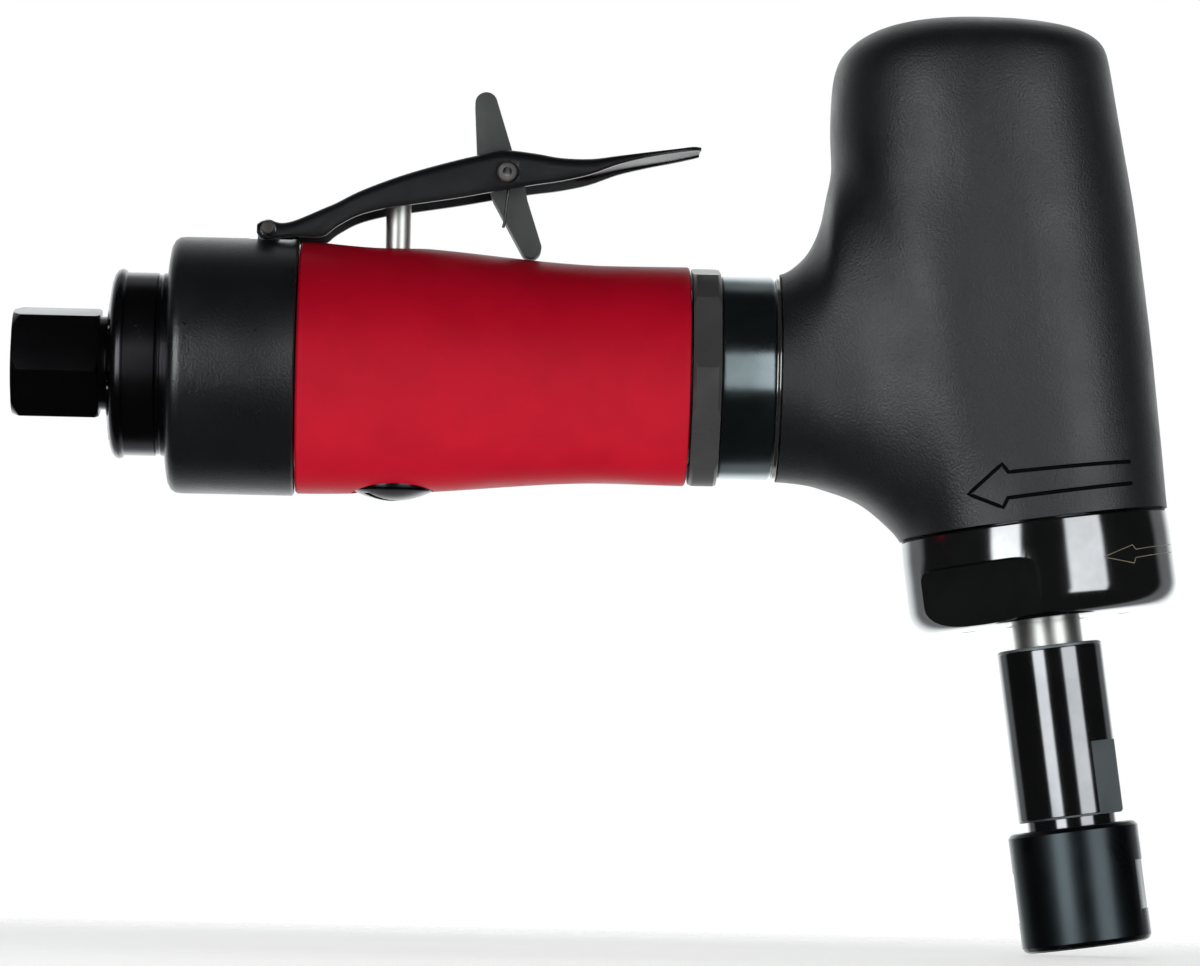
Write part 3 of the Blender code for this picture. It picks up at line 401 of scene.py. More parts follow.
CASING = finish("moulded_casing", (0.007, 0.008, 0.011), 0.41, grain=0.8, grain_size=0.4, relief=0.1,
                edge_wear_and_highlight=0.1, specular=0.95)
COVER = finish("moulded_cover", (0.006, 0.006, 0.008), 0.31, grain=0.4, grain_size=0.4, relief=0.06,
               edge_wear_and_highlight=0.1, specular=1.0, ior=1.6)
RED = finish("red_grip", (0.54, 0.002, 0.018), 0.42, grain=0.08, grain_size=0.8, relief=0.02, mottle=0.06,
             edge_wear_and_highlight=0.2, edge_wear_and_highlight_color=(0.62, 0.03, 0.06), streaks=(0.12, 1.0, 1.0), specular=0.14)
BLACK_OXIDE = finish("black_oxide", (0.075, 0.07, 0.08), 0.24, 1.0, grain=0.3, grain_size=0.3,
                     relief=0.006, edge_wear_and_highlight=0.1, edge_wear_and_highlight_color=(0.15, 0.15, 0.15))
BLACK_GLOSS = finish("polished_black", (0.3, 0.3, 0.31), 0.12, 1.0, grain=0.1, grain_size=0.3,
                     relief=0.001, edge_wear_and_highlight=0.4, edge_wear_and_highlight_color=(0.45, 0.45, 0.45), turned=0.6)
CHUCK_BLACK = finish("turned_gloss", (0.22, 0.22, 0.23), 0.14, 1.0, grain=0.1, grain_size=0.3,
                     relief=0.001, edge_wear_and_highlight=0.3, edge_wear_and_highlight_color=(0.45, 0.45, 0.45), turned=0.6, milled=(7.94, 8.94))
COUPLING = finish("turned_black", (0.24, 0.29, 0.31), 0.3, 1.0, grain=0.1, grain_size=0.3, relief=0.001,
                  edge_wear_and_highlight=0.4, edge_wear_and_highlight_color=(0.45, 0.45, 0.45), turned=0.95)
NUT_BLACK = finish("satin_black", (0.052, 0.063, 0.07), 0.3, 1.0, grain=0.25, grain_size=0.25,
                   relief=0.008, edge_wear_and_highlight=0.5, edge_wear_and_highlight_color=(0.25, 0.25, 0.25))
PHOSPHATE = finish("phosphate_grey", (0.09, 0.08, 0.075), 0.42, 0.7, grain=0.35, grain_size=0.3,
                   relief=0.012, edge_wear_and_highlight=0.7, edge_wear_and_highlight_color=(0.3, 0.29, 0.28))
# the lock nut's lighter edges are partly wear and partly a painted highlight on its chamfers
LOCK_BLACK = finish("blackened_ring", (0.085, 0.078, 0.08), 0.3, 0.3, grain=0.3, grain_size=0.3,
                    relief=0.012, edge_wear_and_highlight=0.5, edge_wear_and_highlight_color=(0.12, 0.12, 0.125))
STEEL = finish("turned_steel", (0.78, 0.77, 0.74), 0.13, 1.0, grain=0.1, grain_size=0.2, relief=0.002,
               streaks=(0.2, 0.2, 3.0), turned=0.5)
PIN_STEEL = finish("push_pin_steel", (0.82, 0.82, 0.79), 0.4, 1.0, grain=0.1, grain_size=0.2,
                   relief=0.002, streaks=(0.2, 0.2, 3.0))
LEVER_BLACK = finish("coated_lever", (0.006, 0.006, 0.008), 0.36, grain=0.4, grain_size=0.35, relief=0.03,
                     edge_wear_and_highlight=0.1, edge_wear_and_highlight_color=(0.03, 0.03, 0.035), specular=0.6)
LATCH_GREY = finish("sintered_grey", (0.07, 0.075, 0.073), 0.5, grain=0.3, grain_size=0.3, relief=0.02,
                    edge_wear_and_highlight=0.4)
ALLOY = finish("machined_alloy", (0.6, 0.61, 0.62), 0.32, 1.0, grain=0.1, grain_size=0.25, relief=0.005,
               streaks=(3.0, 0.3, 0.3))
BRONZE = finish("bronze", (0.62, 0.4, 0.16), 0.3, 1.0, grain=0.15, grain_size=0.25, relief=0.005)
RUBBER = finish("seal_rubber", (0.02, 0.02, 0.02), 0.75, grain=0.3, relief=0.02)
FELT = finish("felt", (0.4, 0.37, 0.32), 0.95, grain=0.5, grain_size=0.35, relief=0.25)
PHENOLIC = finish("phenolic", (0.16, 0.08, 0.035), 0.55, grain=0.4, grain_size=0.3, relief=0.02,
                  streaks=(1.0, 1.0, 0.1))
SPRING = finish("spring_wire", (0.42, 0.42, 0.42), 0.28, 1.0, grain=0.15, grain_size=0.2, relief=0.003)
SCREEN = finish("screen_mesh", (0.5, 0.46, 0.34), 0.4, 1.0, grain=0.6, grain_size=0.4, relief=0.1)
MARK = finish("arrow_black", (0.002, 0.002, 0.002), 0.8, grain=0.2, relief=0.01, edge_wear_and_highlight=0.0, specular=0.1)
ETCH = finish("arrow_etch", (0.45, 0.38, 0.26), 0.45, 0.6, grain=0.2, relief=0.004)


def paint(obj, material):
    obj.data.materials.clear()
    obj.data.materials.append(material)


def settle(obj, material, body, node=None, angle=40.0):
    """Give a piece its finish and its body, and let it stand for a node."""
    paint(obj, material)
    smooth_shade(obj, angle)
    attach(obj, body)
    if node:
        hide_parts(node)


# ---- rear end -------------------------------------------------------------------------------------

HEX_CORNER_R = 10.08
HEX_TURN = 42.4  # degrees
SLEEVE_BORE_R = 17.3


def thread_steps(start, end, radius, depth, pitch=0.95):
    """Zigzag (height, radius) points of a fine internal thread."""
    count = int((end - start) / pitch)
    points = []
    for i in range(count):
        points.append((start + i * pitch, radius))
        points.append((start + (i + 0.5) * pitch, radius + depth))
    return points + [(end, radius)]


def inlet_bushing():
    place = HANDLE @ ALONG_X
    corners = hexagon(HEX_CORNER_R, HEX_TURN)
    body = skin("inlet_hexagon", [[(x, y, z) for x, y in corners] for z in (0.0, 14.9)], place)
    turning = [(-1.0, 0.0), (-1.0, 8.1), (1.7, 10.3), (14.1, 10.3), (16.0, 8.2), (16.0, 0.0)]
    carve(body, lathe("turning", turning, place), "INTERSECT")
    carve(body, rod("shank", 14.4, 38.0, 8.0, place, ROUND), "UNION")
    soften(body, 0.22)
    port = [(-1.0, 0.0), (-1.0, 7.4), (0.9, 5.7)] + thread_steps(1.2, 14.5, 5.6, 0.5)
    port += [(16.5, 4.0), (39.0, 4.0), (39.0, 0.0)]
    carve(body, lathe("port", port, place))
    settle(body, BLACK_OXIDE, "housing", "inlet_bushing", 28.0)


def exhaust_collar():
    place = HANDLE @ ALONG_X
    lip = [(16.2, 8.3), (16.2, 9.4), (16.5, 11.6), (16.9, 14.2), (17.3, 15.4), (17.9, 16.1)]
    lip += [(18.5, 16.3), (19.0, 16.15), (19.4, 15.7)]
    groove = [(24.6, 15.7), (24.9, 15.4), (25.4, 15.4), (25.7, 15.7)]
    front = [(34.0, 15.7), (34.0, 11.3), (28.3, 11.3), (28.3, 8.3)]
    body = lathe("exhaust_collar", lip + groove + front, place)
    holes = 8
    circle_r = 13.4
    for i in range(holes):
        angle = math.radians(22.5 + 360.0 / holes * i)
        spot = Matrix.Translation((circle_r * MM * math.cos(angle), circle_r * MM * math.sin(angle), 0.0))
        carve(body, rod("drill", 14.0, 36.0, 1.2, place @ spot, 20))
    soften(body, 0.12, 2)
    settle(body, BLACK_OXIDE, "housing", "exhaust_deflector")


def rear_cover():
    shoulder = [(26.4, 15.9), (26.6, 18.4), (26.95, 20.4), (27.5, 21.4), (28.3, 21.9), (29.4, 22.0)]
    front = [(48.2, 22.0), (48.5, 21.7), (48.5, SLEEVE_BORE_R), (31.0, SLEEVE_BORE_R), (31.0, 15.9)]
    body = lathe("rear_sleeve", shoulder + front, HANDLE @ ALONG_X, 128)
    # room for the lug that carries the lever
    carve(body, block("slot", (lever_at.x - 3.3, -4.3, 14.0), (47.4, 4.3, 26.0), HANDLE))
    soften(body, 0.25)
    settle(body, COVER, "housing", "rear_cover")


# ---- handle ---------------------------------------------------------------------------------------

GRIP_START = 48.8
GRIP_END = 115.5
GRIP_R = 21.6
WAIST_START = 62.0
WAIST_LENGTH = 40.0
WAIST_DEPTH = 2.5
FLARE_START = 104.0
SCOOP_R = 68.0
HINGE_BORE_R = 1.4


def grip_radius(x):
    """Full at the rear, easing to a waist near the head, and lifting a little at the end."""
    full = GRIP_R - 0.4 * min(1.0, (x - GRIP_START) / 13.0) ** 2
    t = min(1.0, max(0.0, (x - WAIST_START) / WAIST_LENGTH))
    flare = max(0.0, (x - FLARE_START) / (GRIP_END - FLARE_START))
    return full - WAIST_DEPTH * t * t * (3.0 - 2.0 * t) + 0.12 * flare


def grip_sleeve():
    outline = [(GRIP_START, SLEEVE_BORE_R), (GRIP_START, grip_radius(GRIP_START) - 0.35)]
    stations = 60
    for i in range(stations + 1):
        x = GRIP_START + 0.35 + (GRIP_END - GRIP_START - 0.8) * i / stations
        outline.append((x, grip_radius(x)))
    end_r = grip_radius(GRIP_END)
    outline += [(GRIP_END - 0.15, end_r - 0.15), (GRIP_END, end_r - 0.5), (GRIP_END, SLEEVE_BORE_R)]
    body = lathe("red_sleeve", outline, HANDLE @ ALONG_X, 160)
    scoop = VALVE @ Matrix.Translation((-1.9 * MM, 0.0, (20.35 + SCOOP_R) * MM)) @ ALONG_Y
    carve(body, rod("thumb_scoop", -30.0, 30.0, SCOOP_R, scoop, 200))
    carve(body, rod("stem_hole", 10.0, 30.0, 2.95, VALVE))
    carve(body, rod("plug_hole", -30.0, -10.0, 7.1, VALVE, 64))
    settle(body, RED, "housing", "grip_sleeve", 30.0)


def handle_core():
    """Alloy core as far as it can be seen: spigot, barrel, nose and the lever's lug."""
    spigot = [(28.6, 8.3), (28.6, 11.0), (34.6, 11.0), (34.6, 12.0), (46.4, 12.0)]
    barrel = [(46.4, 17.0), (115.5, 17.0), (115.5, 15.0), (140.6, 15.0), (141.0, 14.6)]
    bore = [(141.0, 9.0), (38.3, 9.0), (38.3, 8.3)]
    body = lathe("handle_core", spigot + barrel + bore, HANDLE @ ALONG_X)
    x, z, lug_r = lever_at.x, lever_at.z, 1.8
    base = [(x - lug_r, 11.0), (x + 3.7, 11.0), (x + lug_r, z)]
    lug = base + arc((x, z), lug_r, 10.0, 170.0, 20) + [(x - lug_r, z)]
    carve(body, plate("lug", lug, 4.0, HANDLE), "UNION")
    carve(body, rod("lug_bore", -6.0, 6.0, HINGE_BORE_R, LEVER @ ALONG_Y))
    chamber = [(19.0, 0.0), (19.0, 4.3), (11.0, 4.3), (11.0, 2.6), (7.6, 2.6), (7.6, 5.5), (-17.0, 5.5),
               (-17.0, 7.1), (-19.0, 7.1), (-19.0, 0.0)]
    carve(body, lathe("chamber", chamber, VALVE, 64))
    settle(body, ALLOY, "housing", "handle_body")


def lock_nut():
    place = HANDLE @ ALONG_X
    flat_r = 18.14
    corners = hexagon(flat_r / math.cos(math.radians(30.0)), -20.1)
    body = skin("hexagon_ring", [[(x, y, z) for x, y in corners] for z in (115.9, 120.7)], place)
    turning = [(115.8, 15.3), (115.8, 18.6), (116.5, 19.3), (120.1, 19.3), (120.8, 18.6), (120.8, 15.3)]
    carve(body, lathe("turning", turning, place, 128), "INTERSECT")
    soften(body, 0.18)
    settle(body, LOCK_BLACK, "housing", "lock_nut", 14.0)


def neck_rings():
    place = HANDLE @ ALONG_X
    outline = [(121.0, 15.3), (121.0, 17.2), (121.25, 17.4), (129.4, 17.4), (129.9, 17.1), (129.9, 15.3)]
    coupling = lathe("gloss_coupling", outline, place, 128)
    settle(soften(coupling, 0.1, 2), COUPLING, "housing", "coupling_ring")
    washer = ring("bright_washer", 130.1, 130.8, 15.3, 17.9, place, 128)
    settle(soften(washer, 0.12), STEEL, "housing", "neck_washer")


# ---- throttle valve, lever and latch --------------------------------------------------------------


def push_pin():
    top = (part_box("valve_stem")[1][2] - VALVE.translation.z) / MM
    pin_r = 2.15
    angles = [math.radians(a) for a in range(80, -1, -8)]
    dome = [(top - pin_r + pin_r * math.sin(a), pin_r * math.cos(a)) for a in angles]
    stem = [(3.1, pin_r), (2.5, 1.6), (-2.8, 1.6), (-2.8, 4.6), (-4.4, 4.6), (-4.4, 0.0)]
    body = lathe("push_pin", [(top, 0.0)] + dome + stem, VALVE, 48)
    settle(body, PIN_STEEL, "valve", "valve_stem")


def plug():
    """Domed and slotted plug under the valve."""
    dome = [(-22.5 + 1.6 * (r / 6.6) ** 2, r) for r in (6.6, 6.0, 5.0, 4.0, 3.0, 2.0, 1.0)]
    outline = [(-13.4, 0.0), (-13.4, 4.9), (-13.7, 5.2), (-17.3, 5.2), (-17.3, 6.8), (-20.5, 6.8)]
    outline += dome + [(-22.5, 0.0)]
    body = lathe("domed_plug", outline, VALVE, 64)
    carve(body, block("slot", (-5.4, -0.7, -24.0), (5.4, 0.7, -21.0), turned_about_z(VALVE, 35.0)))
    soften(body, 0.15, 2)
    settle(body, BLACK_OXIDE, "housing", "valve_plug")


LEVER_ROWS = (
    # along, crown height, flange foot height, half width, in the handle frame
    # the feet beside the hinge stay clear of the rear sleeve when the lever is pressed
    (41.3, 23.9, 22.4, 7.3),
    (42.2, 24.6, 21.5, 7.3),
    (43.8, 24.6, 21.5, 7.3),
    (45.6, 24.3, 21.7, 7.3),
    (48.0, 24.9, 21.9, 7.3),
    (52.4, 26.9, 22.0, 7.3),
    (54.8, 28.0, 23.7, 7.3),
    (58.3, 29.9, 25.7, 7.3),
    (63.0, 31.9, 27.1, 7.3),
    (68.3, 33.8, 28.0, 7.3),
    (75.4, 35.9, 29.2, 7.3),
    (80.0, 37.0, 30.1, 7.4),
    (83.5, 37.7, 30.8, 7.6),
    (88.6, 37.2, 31.7, 8.0),
    (93.0, 36.5, 32.4, 8.4),
    (98.0, 36.4, 33.6, 8.8),
    (103.0, 37.0, 35.5, 9.0),
    (108.0, 37.7, 36.8, 8.9),
    (112.5, 38.4, 37.7, 8.2),
    (115.6, 39.0, 38.3, 6.9),
    (117.0, 39.1, 38.5, 5.2),
)
WALL = 1.5


def channel(x, crown, foot, half):
    """Folded section with round shoulders, in the lever's own frame."""
    depth = crown - foot
    shoulder = min(1.8, 0.7 * depth)
    wall = min(WALL, 0.55 * depth)
    corner = 0.35 * min(wall, depth - wall)
    inner = half - WALL
    under = crown - wall
    outside = [(half - 0.3, foot), (half, foot + 0.15 * depth)]
    quarter = arc((0.0, 0.0), shoulder, 0.0, 90.0, 6)
    outside += [(y + half - shoulder, z + crown - shoulder) for y, z in quarter]
    crown_line = [(half * f, crown + 0.2 * (1.0 - f * f)) for f in (0.4, 0.0, -0.4)]
    outside += crown_line + [(-y, z) for y, z in outside[::-1]]
    inside = [(-inner, foot), (-inner, under - corner), (-inner + corner, under), (0.0, under + 0.1)]
    inside += [(inner - corner, under), (inner, under - corner), (inner, foot)]
    return [(x - lever_at.x, y, z - lever_at.z) for y, z in outside + inside]


def throttle_lever():
    rows = flowing(LEVER_ROWS, 4)
    body = skin("pressed_lever", [channel(*row) for row in rows], LEVER)
    x = latch_in_lever.x
    carve(body, rod("hinge_bore", -12.0, 12.0, HINGE_BORE_R, LEVER @ ALONG_Y))
    carve(body, rod("latch_bore", -12.0, 12.0, 1.8, LATCH @ ALONG_Y))
    carve(body, block("latch_slot", (x - 10.5, -3.4, 8.0), (x + 3.6, 3.4, 18.0), LEVER))
    carve(body, block("fork", (-6.0, -4.5, -6.0), (4.6, 4.5, 8.0), LEVER))
    soften(body, 0.15, 2, 50.0)
    settle(body, LEVER_BLACK, "lever", "throttle_lever", 35.0)


def pins():
    hinge = rod("hinge_pin", -8.6, 8.6, 1.1, LEVER @ ALONG_Y, 32)
    settle(soften(hinge, 0.25), PHOSPHATE, "housing", "lever_pin")
    outline = [(-8.9, 0.8), (-8.9, 1.45), (-8.65, 1.7), (8.65, 1.7), (8.9, 1.45), (8.9, 0.8)]
    rivet = lathe("hollow_rivet", outline, LATCH @ ALONG_Y, 40)
    settle(rivet, PHOSPHATE, "lever", "latch_pin")


def safety_latch():
    tab = arc((-3.8, 12.4), 1.9, 18.0, 184.0, 16)
    left_side = [(-5.2, 3.8), (-3.6, -0.5), (-2.2, -4.2)]
    foot = arc((4.4, -12.3), 1.8, 205.0, 370.0, 16)
    right_side = [(3.6, -4.2), (2.9, -0.5), (0.9, 4.0)]
    body = plate("two_ended_latch", tab + left_side + foot + right_side, 3.0, LATCH)
    carve(body, rod("bore", -6.0, 6.0, 2.0, LATCH @ ALONG_Y))
    soften(body, 0.4)
    settle(body, LATCH_GREY, "latch", "safety_latch", 35.0)


def latch_spring():
    """Coil held by the lever; its leg turns with the latch that it pushes on."""
    start, rise, per_turn, coil_r, wire_r = 3.75, 1.45, 24, 2.15, 0.25
    count = 2 * per_turn + per_turn // 2
    points = []
    for i in range(count + 1):
        angle = math.radians(100.0) - 2.0 * math.pi * i / per_turn
        points.append((coil_r * math.cos(angle), -(start + rise * i / count), coil_r * math.sin(angle)))
    coil = tube("torsion_spring", points, wire_r, LATCH)
    settle(coil, BLACK_OXIDE, "lever", "latch_spring", 60.0)
    side = -(start + rise)
    leg = tube("spring_leg", [points[-1], (-0.3, side, -8.6), (-0.5, side, -9.3)], wire_r, LATCH)
    settle(leg, BLACK_OXIDE, "latch", None, 60.0)


# ---- head -----------------------------------------------------------------------------------------

BARREL_ROWS = (
    # rear edge x, z, front edge x, z, half width, in the handle frame
    (154.6, -39.0, 200.0, -32.0, 22.7),
    (153.4, -27.6, 198.3, -20.9, 22.7),
    (152.6, -21.0, 197.6, -14.5, 22.8),
    (149.6, -8.0, 196.3, -3.0, 23.0),
    (146.4, 6.0, 194.9, 9.0, 23.3),
    (143.4, 18.0, 193.3, 20.5, 23.5),
    (140.9, 28.5, 191.8, 30.5, 23.5),
    (139.5, 40.0, 189.8, 41.0, 23.3),
    (139.5, 48.5, 188.2, 49.5, 22.9),
    (140.0, 53.0, 187.4, 54.0, 22.3),
    (141.2, 56.0, 186.7, 57.0, 21.4),
    (143.8, 58.5, 185.6, 58.9, 19.8),
    (147.6, 60.5, 182.8, 60.6, 16.8),
    (153.0, 61.9, 178.0, 61.8, 12.0),
    (159.0, 62.6, 172.0, 62.6, 6.2),
    (163.5, 62.75, 167.5, 62.75, 2.0),
)
NECK_ROWS = (
    # along, crown, foot, half width, squareness, in the handle frame
    (124.0, 17.8, -17.8, 17.8, 2.0),
    (131.1, 17.8, -17.8, 17.8, 2.0),
    (133.0, 18.9, -17.9, 17.85, 2.0),
    (135.3, 20.9, -18.1, 17.95, 2.03),
    (136.8, 23.4, -18.3, 18.1, 2.1),
    (137.9, 26.2, -18.5, 18.25, 2.2),
    (138.8, 30.0, -18.8, 18.4, 2.3),
    (139.5, 34.5, -19.0, 18.5, 2.4),
    (143.5, 36.0, -20.2, 18.9, 2.5),
    (147.0, 35.5, -22.0, 19.2, 2.5),
    (150.5, 34.5, -25.0, 19.3, 2.5),
    (153.2, 33.5, -27.2, 19.2, 2.4),
    (158.0, 33.0, -27.5, 17.4, 2.4),
    (163.0, 32.0, -27.5, 14.0, 2.4),
    (168.0, 31.0, -27.5, 10.0, 2.4),
    (174.0, 30.0, -27.5, 5.0, 2.4),
    (179.0, 29.0, -27.5, 1.0, 2.4),
)
SQUARENESS = 2.35
SECTION_POINTS = 96
SEAM_Z = -24.35
FILLET = 17.0
NECK_X = 131.1
VOXEL = 0.8
JOIN_NEAR = 6.0  # distance from the join over which a smoothing pass fades
JOIN_WIDE = 18.0
SHOULDER = (145.0, 33.0)  # where the neck's crown runs into the barrel, x and z in the handle frame
SHOULDER_REACH = 19.0
OUTSIDE = 60.0  # beside the tool, where rays along Y start


def rounded(angle, squareness):
    """Cosine and sine of a superellipse."""
    across, upward = math.cos(angle), math.sin(angle)
    power = 2.0 / squareness
    return math.copysign(abs(across) ** power, across), math.copysign(abs(upward) ** power, upward)


def barrel_section(rear_x, rear_z, front_x, front_z, half):
    middle = Vector(((rear_x + front_x) / 2, 0.0, (rear_z + front_z) / 2))
    reach = Vector(((front_x - rear_x) / 2, 0.0, (front_z - rear_z) / 2))
    points = []
    for i in range(SECTION_POINTS):
        along, across = rounded(2.0 * math.pi * i / SECTION_POINTS, SQUARENESS)
        points.append(middle + reach * along + Vector((0.0, half * across, 0.0)))
    return points


def neck_section(x, crown, foot, half, squareness):
    points = []
    for i in range(SECTION_POINTS):
        across, upward = rounded(2.0 * math.pi * i / SECTION_POINTS, squareness)
        height = crown if upward > 0 else -foot
        points.append((x, half * across, height * upward))
    return points


def surface_tree(obj):
    shape = bmesh.new()
    shape.from_mesh(obj.data)
    shape.transform(obj.matrix_world)
    tree = BVHTree.FromBMesh(shape)
    shape.free()
    return tree


def relax(obj, weights, turns, only_y=False):
    """Smooth the mesh where the weights say; only_y keeps the outline seen from the side."""
    group = obj.vertex_groups.new(name="relax")
    for index, weight in enumerate(weights):
        if weight > 0.0:
            group.add([index], weight, "REPLACE")
    modifier = obj.modifiers.new("relax", "SMOOTH")
    modifier.factor = 0.5
    modifier.iterations = turns
    modifier.vertex_group = "relax"
    modifier.use_x = not only_y
    modifier.use_z = not only_y
    bake(obj)
    obj.vertex_groups.clear()


def fading(distances, reach, least=0.0):
    """Weights of 1 at no distance that fall evenly towards 0 at the reach, but not under a least value."""
    return [max(least, 1.0 - far / reach) for far in distances]


def thickness(tree, spot):
    """Half the thickness of a shape at a place, measured along Y; 0 beside it."""
    hit = tree.ray_cast(Vector((spot.x, -OUTSIDE * MM, spot.z)), Vector((0.0, 1.0, 0.0)))[0]
    return abs(hit.y) / MM if hit else 0.0


def blended(first, second):
    """Greater of two half thicknesses, with the step between them filled by a wide soft fillet."""
    reach = min(FILLET, 1.6 * min(first, second))
    if reach <= 0.0:
        return max(first, second)
    near = max(reach - abs(first - second), 0.0) / reach
    return max(first, second) + near * near * reach / 4.0


def head_casing():
    """Upright barrel and flared neck melted together, then faced and bored."""
    body = skin("casing", [barrel_section(*row) for row in flowing(BARREL_ROWS, 4)], HANDLE)
    neck = skin("neck", [neck_section(*row) for row in flowing(NECK_ROWS, 4)], HANDLE)
    bpy.context.view_layer.update()
    barrel_tree, neck_tree = surface_tree(body), surface_tree(neck)
    carve(body, neck, "UNION")
    voxels = body.modifiers.new("melt", "REMESH")
    voxels.mode = "VOXEL"
    voxels.voxel_size = VOXEL * MM
    voxels.adaptivity = 0.0
    bake(body)
    apart = []
    for vertex in body.data.vertices:
        spot = body.matrix_world @ vertex.co
        apart.append(max(barrel_tree.find_nearest(spot)[3], neck_tree.find_nearest(spot)[3]) / MM)
        sides = (thickness(barrel_tree, spot), thickness(neck_tree, spot))
        if min(sides) > 0.0:
            vertex.co.y = math.copysign(blended(*sides) * MM, vertex.co.y)
    relax(body, fading(apart, JOIN_NEAR), 50)
    relax(body, fading(apart, JOIN_WIDE, 0.12), 40)
    relax(body, fading(apart, JOIN_WIDE), 320, True)
    relax(body, [0.3] * len(apart), 12)
    shoulder = HANDLE @ Vector((SHOULDER[0] * MM, 0.0, SHOULDER[1] * MM))
    offsets = [(body.matrix_world @ vertex.co - shoulder) / MM for vertex in body.data.vertices]
    relax(body, fading([math.hypot(off.x, off.z) for off in offsets], SHOULDER_REACH), 260, True)
    carve(body, block("seam_cut", (-70.0, -60.0, -90.0), (60.0, 60.0, SEAM_Z), HEAD))
    carve(body, block("neck_cut", (100.0, -40.0, -40.0), (NECK_X, 40.0, 40.0), HANDLE))
    low = SEAM_Z - 5.0
    bore = [(low, 0.0), (low, 19.2), (38.8, 19.2), (38.8, 12.3), (47.0, 12.3), (47.0, 0.0)]
    carve(body, lathe("motor_bore", bore, HEAD))
    back = NECK_X - 2.0
    bore = [(back, 0.0), (back, 15.3), (141.3, 15.3), (141.3, 10.0), (160.0, 10.0), (160.0, 0.0)]
    carve(body, lathe("neck_bore", bore, HANDLE @ ALONG_X))
    settle(body, CASING, "housing", "head_housing", 50.0)
    return body


def on_surface(tree, spot):
    """Where a line along +Y, through a place in the head frame, first meets a surface."""
    start = HEAD @ (Vector((spot[0], -OUTSIDE, spot[1])) * MM)
    return tree.ray_cast(start, Vector((0.0, 1.0, 0.0)))[0]


def along_lines(corners, step):
    """Points at about even steps along straight lines between corners."""
    points = []
    for first, second in zip(corners, corners[1:]):
        first, second = Vector(first), Vector(second)
        count = max(2, int((second - first).length / step))
        points += [first.lerp(second, i / count) for i in range(count)]
    return points + [Vector(corners[-1])]


def drawn_line(name, corners, target, radius, material):
    """A raised line laid on a surface, half sunk in it."""
    bpy.context.view_layer.update()
    tree = surface_tree(target)
    spots = [on_surface(tree, corner) for corner in along_lines(corners, 0.7)]
    points = [(spot - HANDLE.translation) / MM for spot in spots if spot]
    body = tube(name, points, radius, HANDLE, 8)
    settle(body, material, "housing", None, 60.0)


def rounded_corner(radius):
    """Quarter round, from the foot of a flat up to its ledge."""
    turns = [math.radians(90.0 * i / 8) for i in range(9)]
    return [(radius * (1.0 - math.cos(a)), radius * (1.0 - math.sin(a))) for a in turns]


def nose_cap():
    edge_z = -36.7
    side = [(-13.6, 15.0), (-13.6, 18.9), (-24.65, 18.9), (-24.65, 22.7), (-25.0, 23.05), (-28.6, 23.2)]
    angles = [math.radians(a) for a in range(12, 85, 12)]
    rim = [(edge_z - 4.3 * math.sin(a), 19.2 + 4.0 * math.cos(a)) for a in angles]
    face = [(-41.05, 18.6), (-41.2, 16.5), (-41.3, 14.0), (-41.3, 7.4), (-40.9, 6.5)]
    bore = [(-34.4, 6.5), (-34.4, 15.0)]
    body = lathe("gloss_nose", side + [(edge_z, 23.2)] + rim + face + bore, HEAD, 160)
    flat_y, ledge_z, below = -20.1, -30.4, -46.0
    for half_turn in (0.0, 180.0):
        place = turned_about_z(HEAD, -36.5 + half_turn)
        ledge = [(flat_y - y, ledge_z - z) for y, z in rounded_corner(1.9)]
        profile = [(flat_y, below)] + ledge + [(-40.0, ledge_z), (-40.0, below)]
        cutter = skin("flat", [[(x, y, z) for y, z in profile] for x in (-20.0, 20.0)], place)
        carve(body, cutter)
    for x in (-13.4, 13.4):
        spot = HEAD @ Matrix.Translation((x * MM, 0.0, 0.0))
        carve(body, rod("pin_hole", -43.5, -38.8, 1.3, spot, 24))
    soften(body, 0.22, 3, 25.0)
    settle(body, BLACK_GLOSS, "housing", "nose_cap", 13.0)
    return body


# ---- spindle and chuck ----------------------------------------------------------------------------


def spindle():
    """Rotor and shaft; the bright neck shows between nose and chuck."""
    rear_journal = [(46.0, 0.0), (46.0, 4.5), (45.6, 4.9), (32.7, 4.9)]
    rotor = [(32.7, 14.0), (-6.4, 14.0)]
    shaft = [(-6.4, 5.9), (-49.4, 5.9), (-49.4, 0.0)]
    body = lathe("bright_spindle", rear_journal + rotor + shaft, HEAD, 80)
    for i in range(5):
        carve(body, block("slot", (5.8, -1.0, -7.4), (16.0, 1.0, 33.7), turned_about_z(HEAD, 72.0 * i)))
    settle(body, PIN_STEEL, "spindle", "rotor_spindle")


def chuck_body():
    socket = [(-50.4, 0.0), (-50.4, 6.2), (-45.4, 6.2)]
    side = [(-45.4, 8.5), (-45.6, 8.85), (-46.1, 9.0), (-74.6, 9.0), (-74.9, 8.8), (-75.0, 8.5)]
    thread = [(-75.0, 7.6), (-77.0, 7.6), (-77.0, 7.9), (-89.0, 7.9)]
    taper = [(-89.0, 6.0), (-66.0, 4.2), (-66.0, 0.0)]
    body = lathe("gloss_extension", socket + side + thread + taper, HEAD, 112)
    for half_turn in (0.0, 180.0):
        place = turned_about_z(HEAD, 55.0 + half_turn)
        carve(body, block("flat", (-12.0, -14.0, -75.1), (12.0, -8.0, -62.5), place))
    soften(body, 0.12, 2)
    settle(body, CHUCK_BLACK, "spindle", "collet_body", 12.0)


def collet():
    outline = [(-67.0, 3.1), (-67.0, 3.9), (-88.6, 5.5), (-93.6, 5.5), (-95.0, 4.5), (-95.0, 3.9),
               (-94.2, 3.1)]
    body = lathe("slit_collet", outline, HEAD, 64)
    for i in range(2):
        place = turned_about_z(HEAD, 90.0 * i + 20.0)
        carve(body, block("slit", (-8.0, -0.35, -97.0), (8.0, 0.35, -71.0), place))
    settle(body, STEEL, "spindle", "collet")


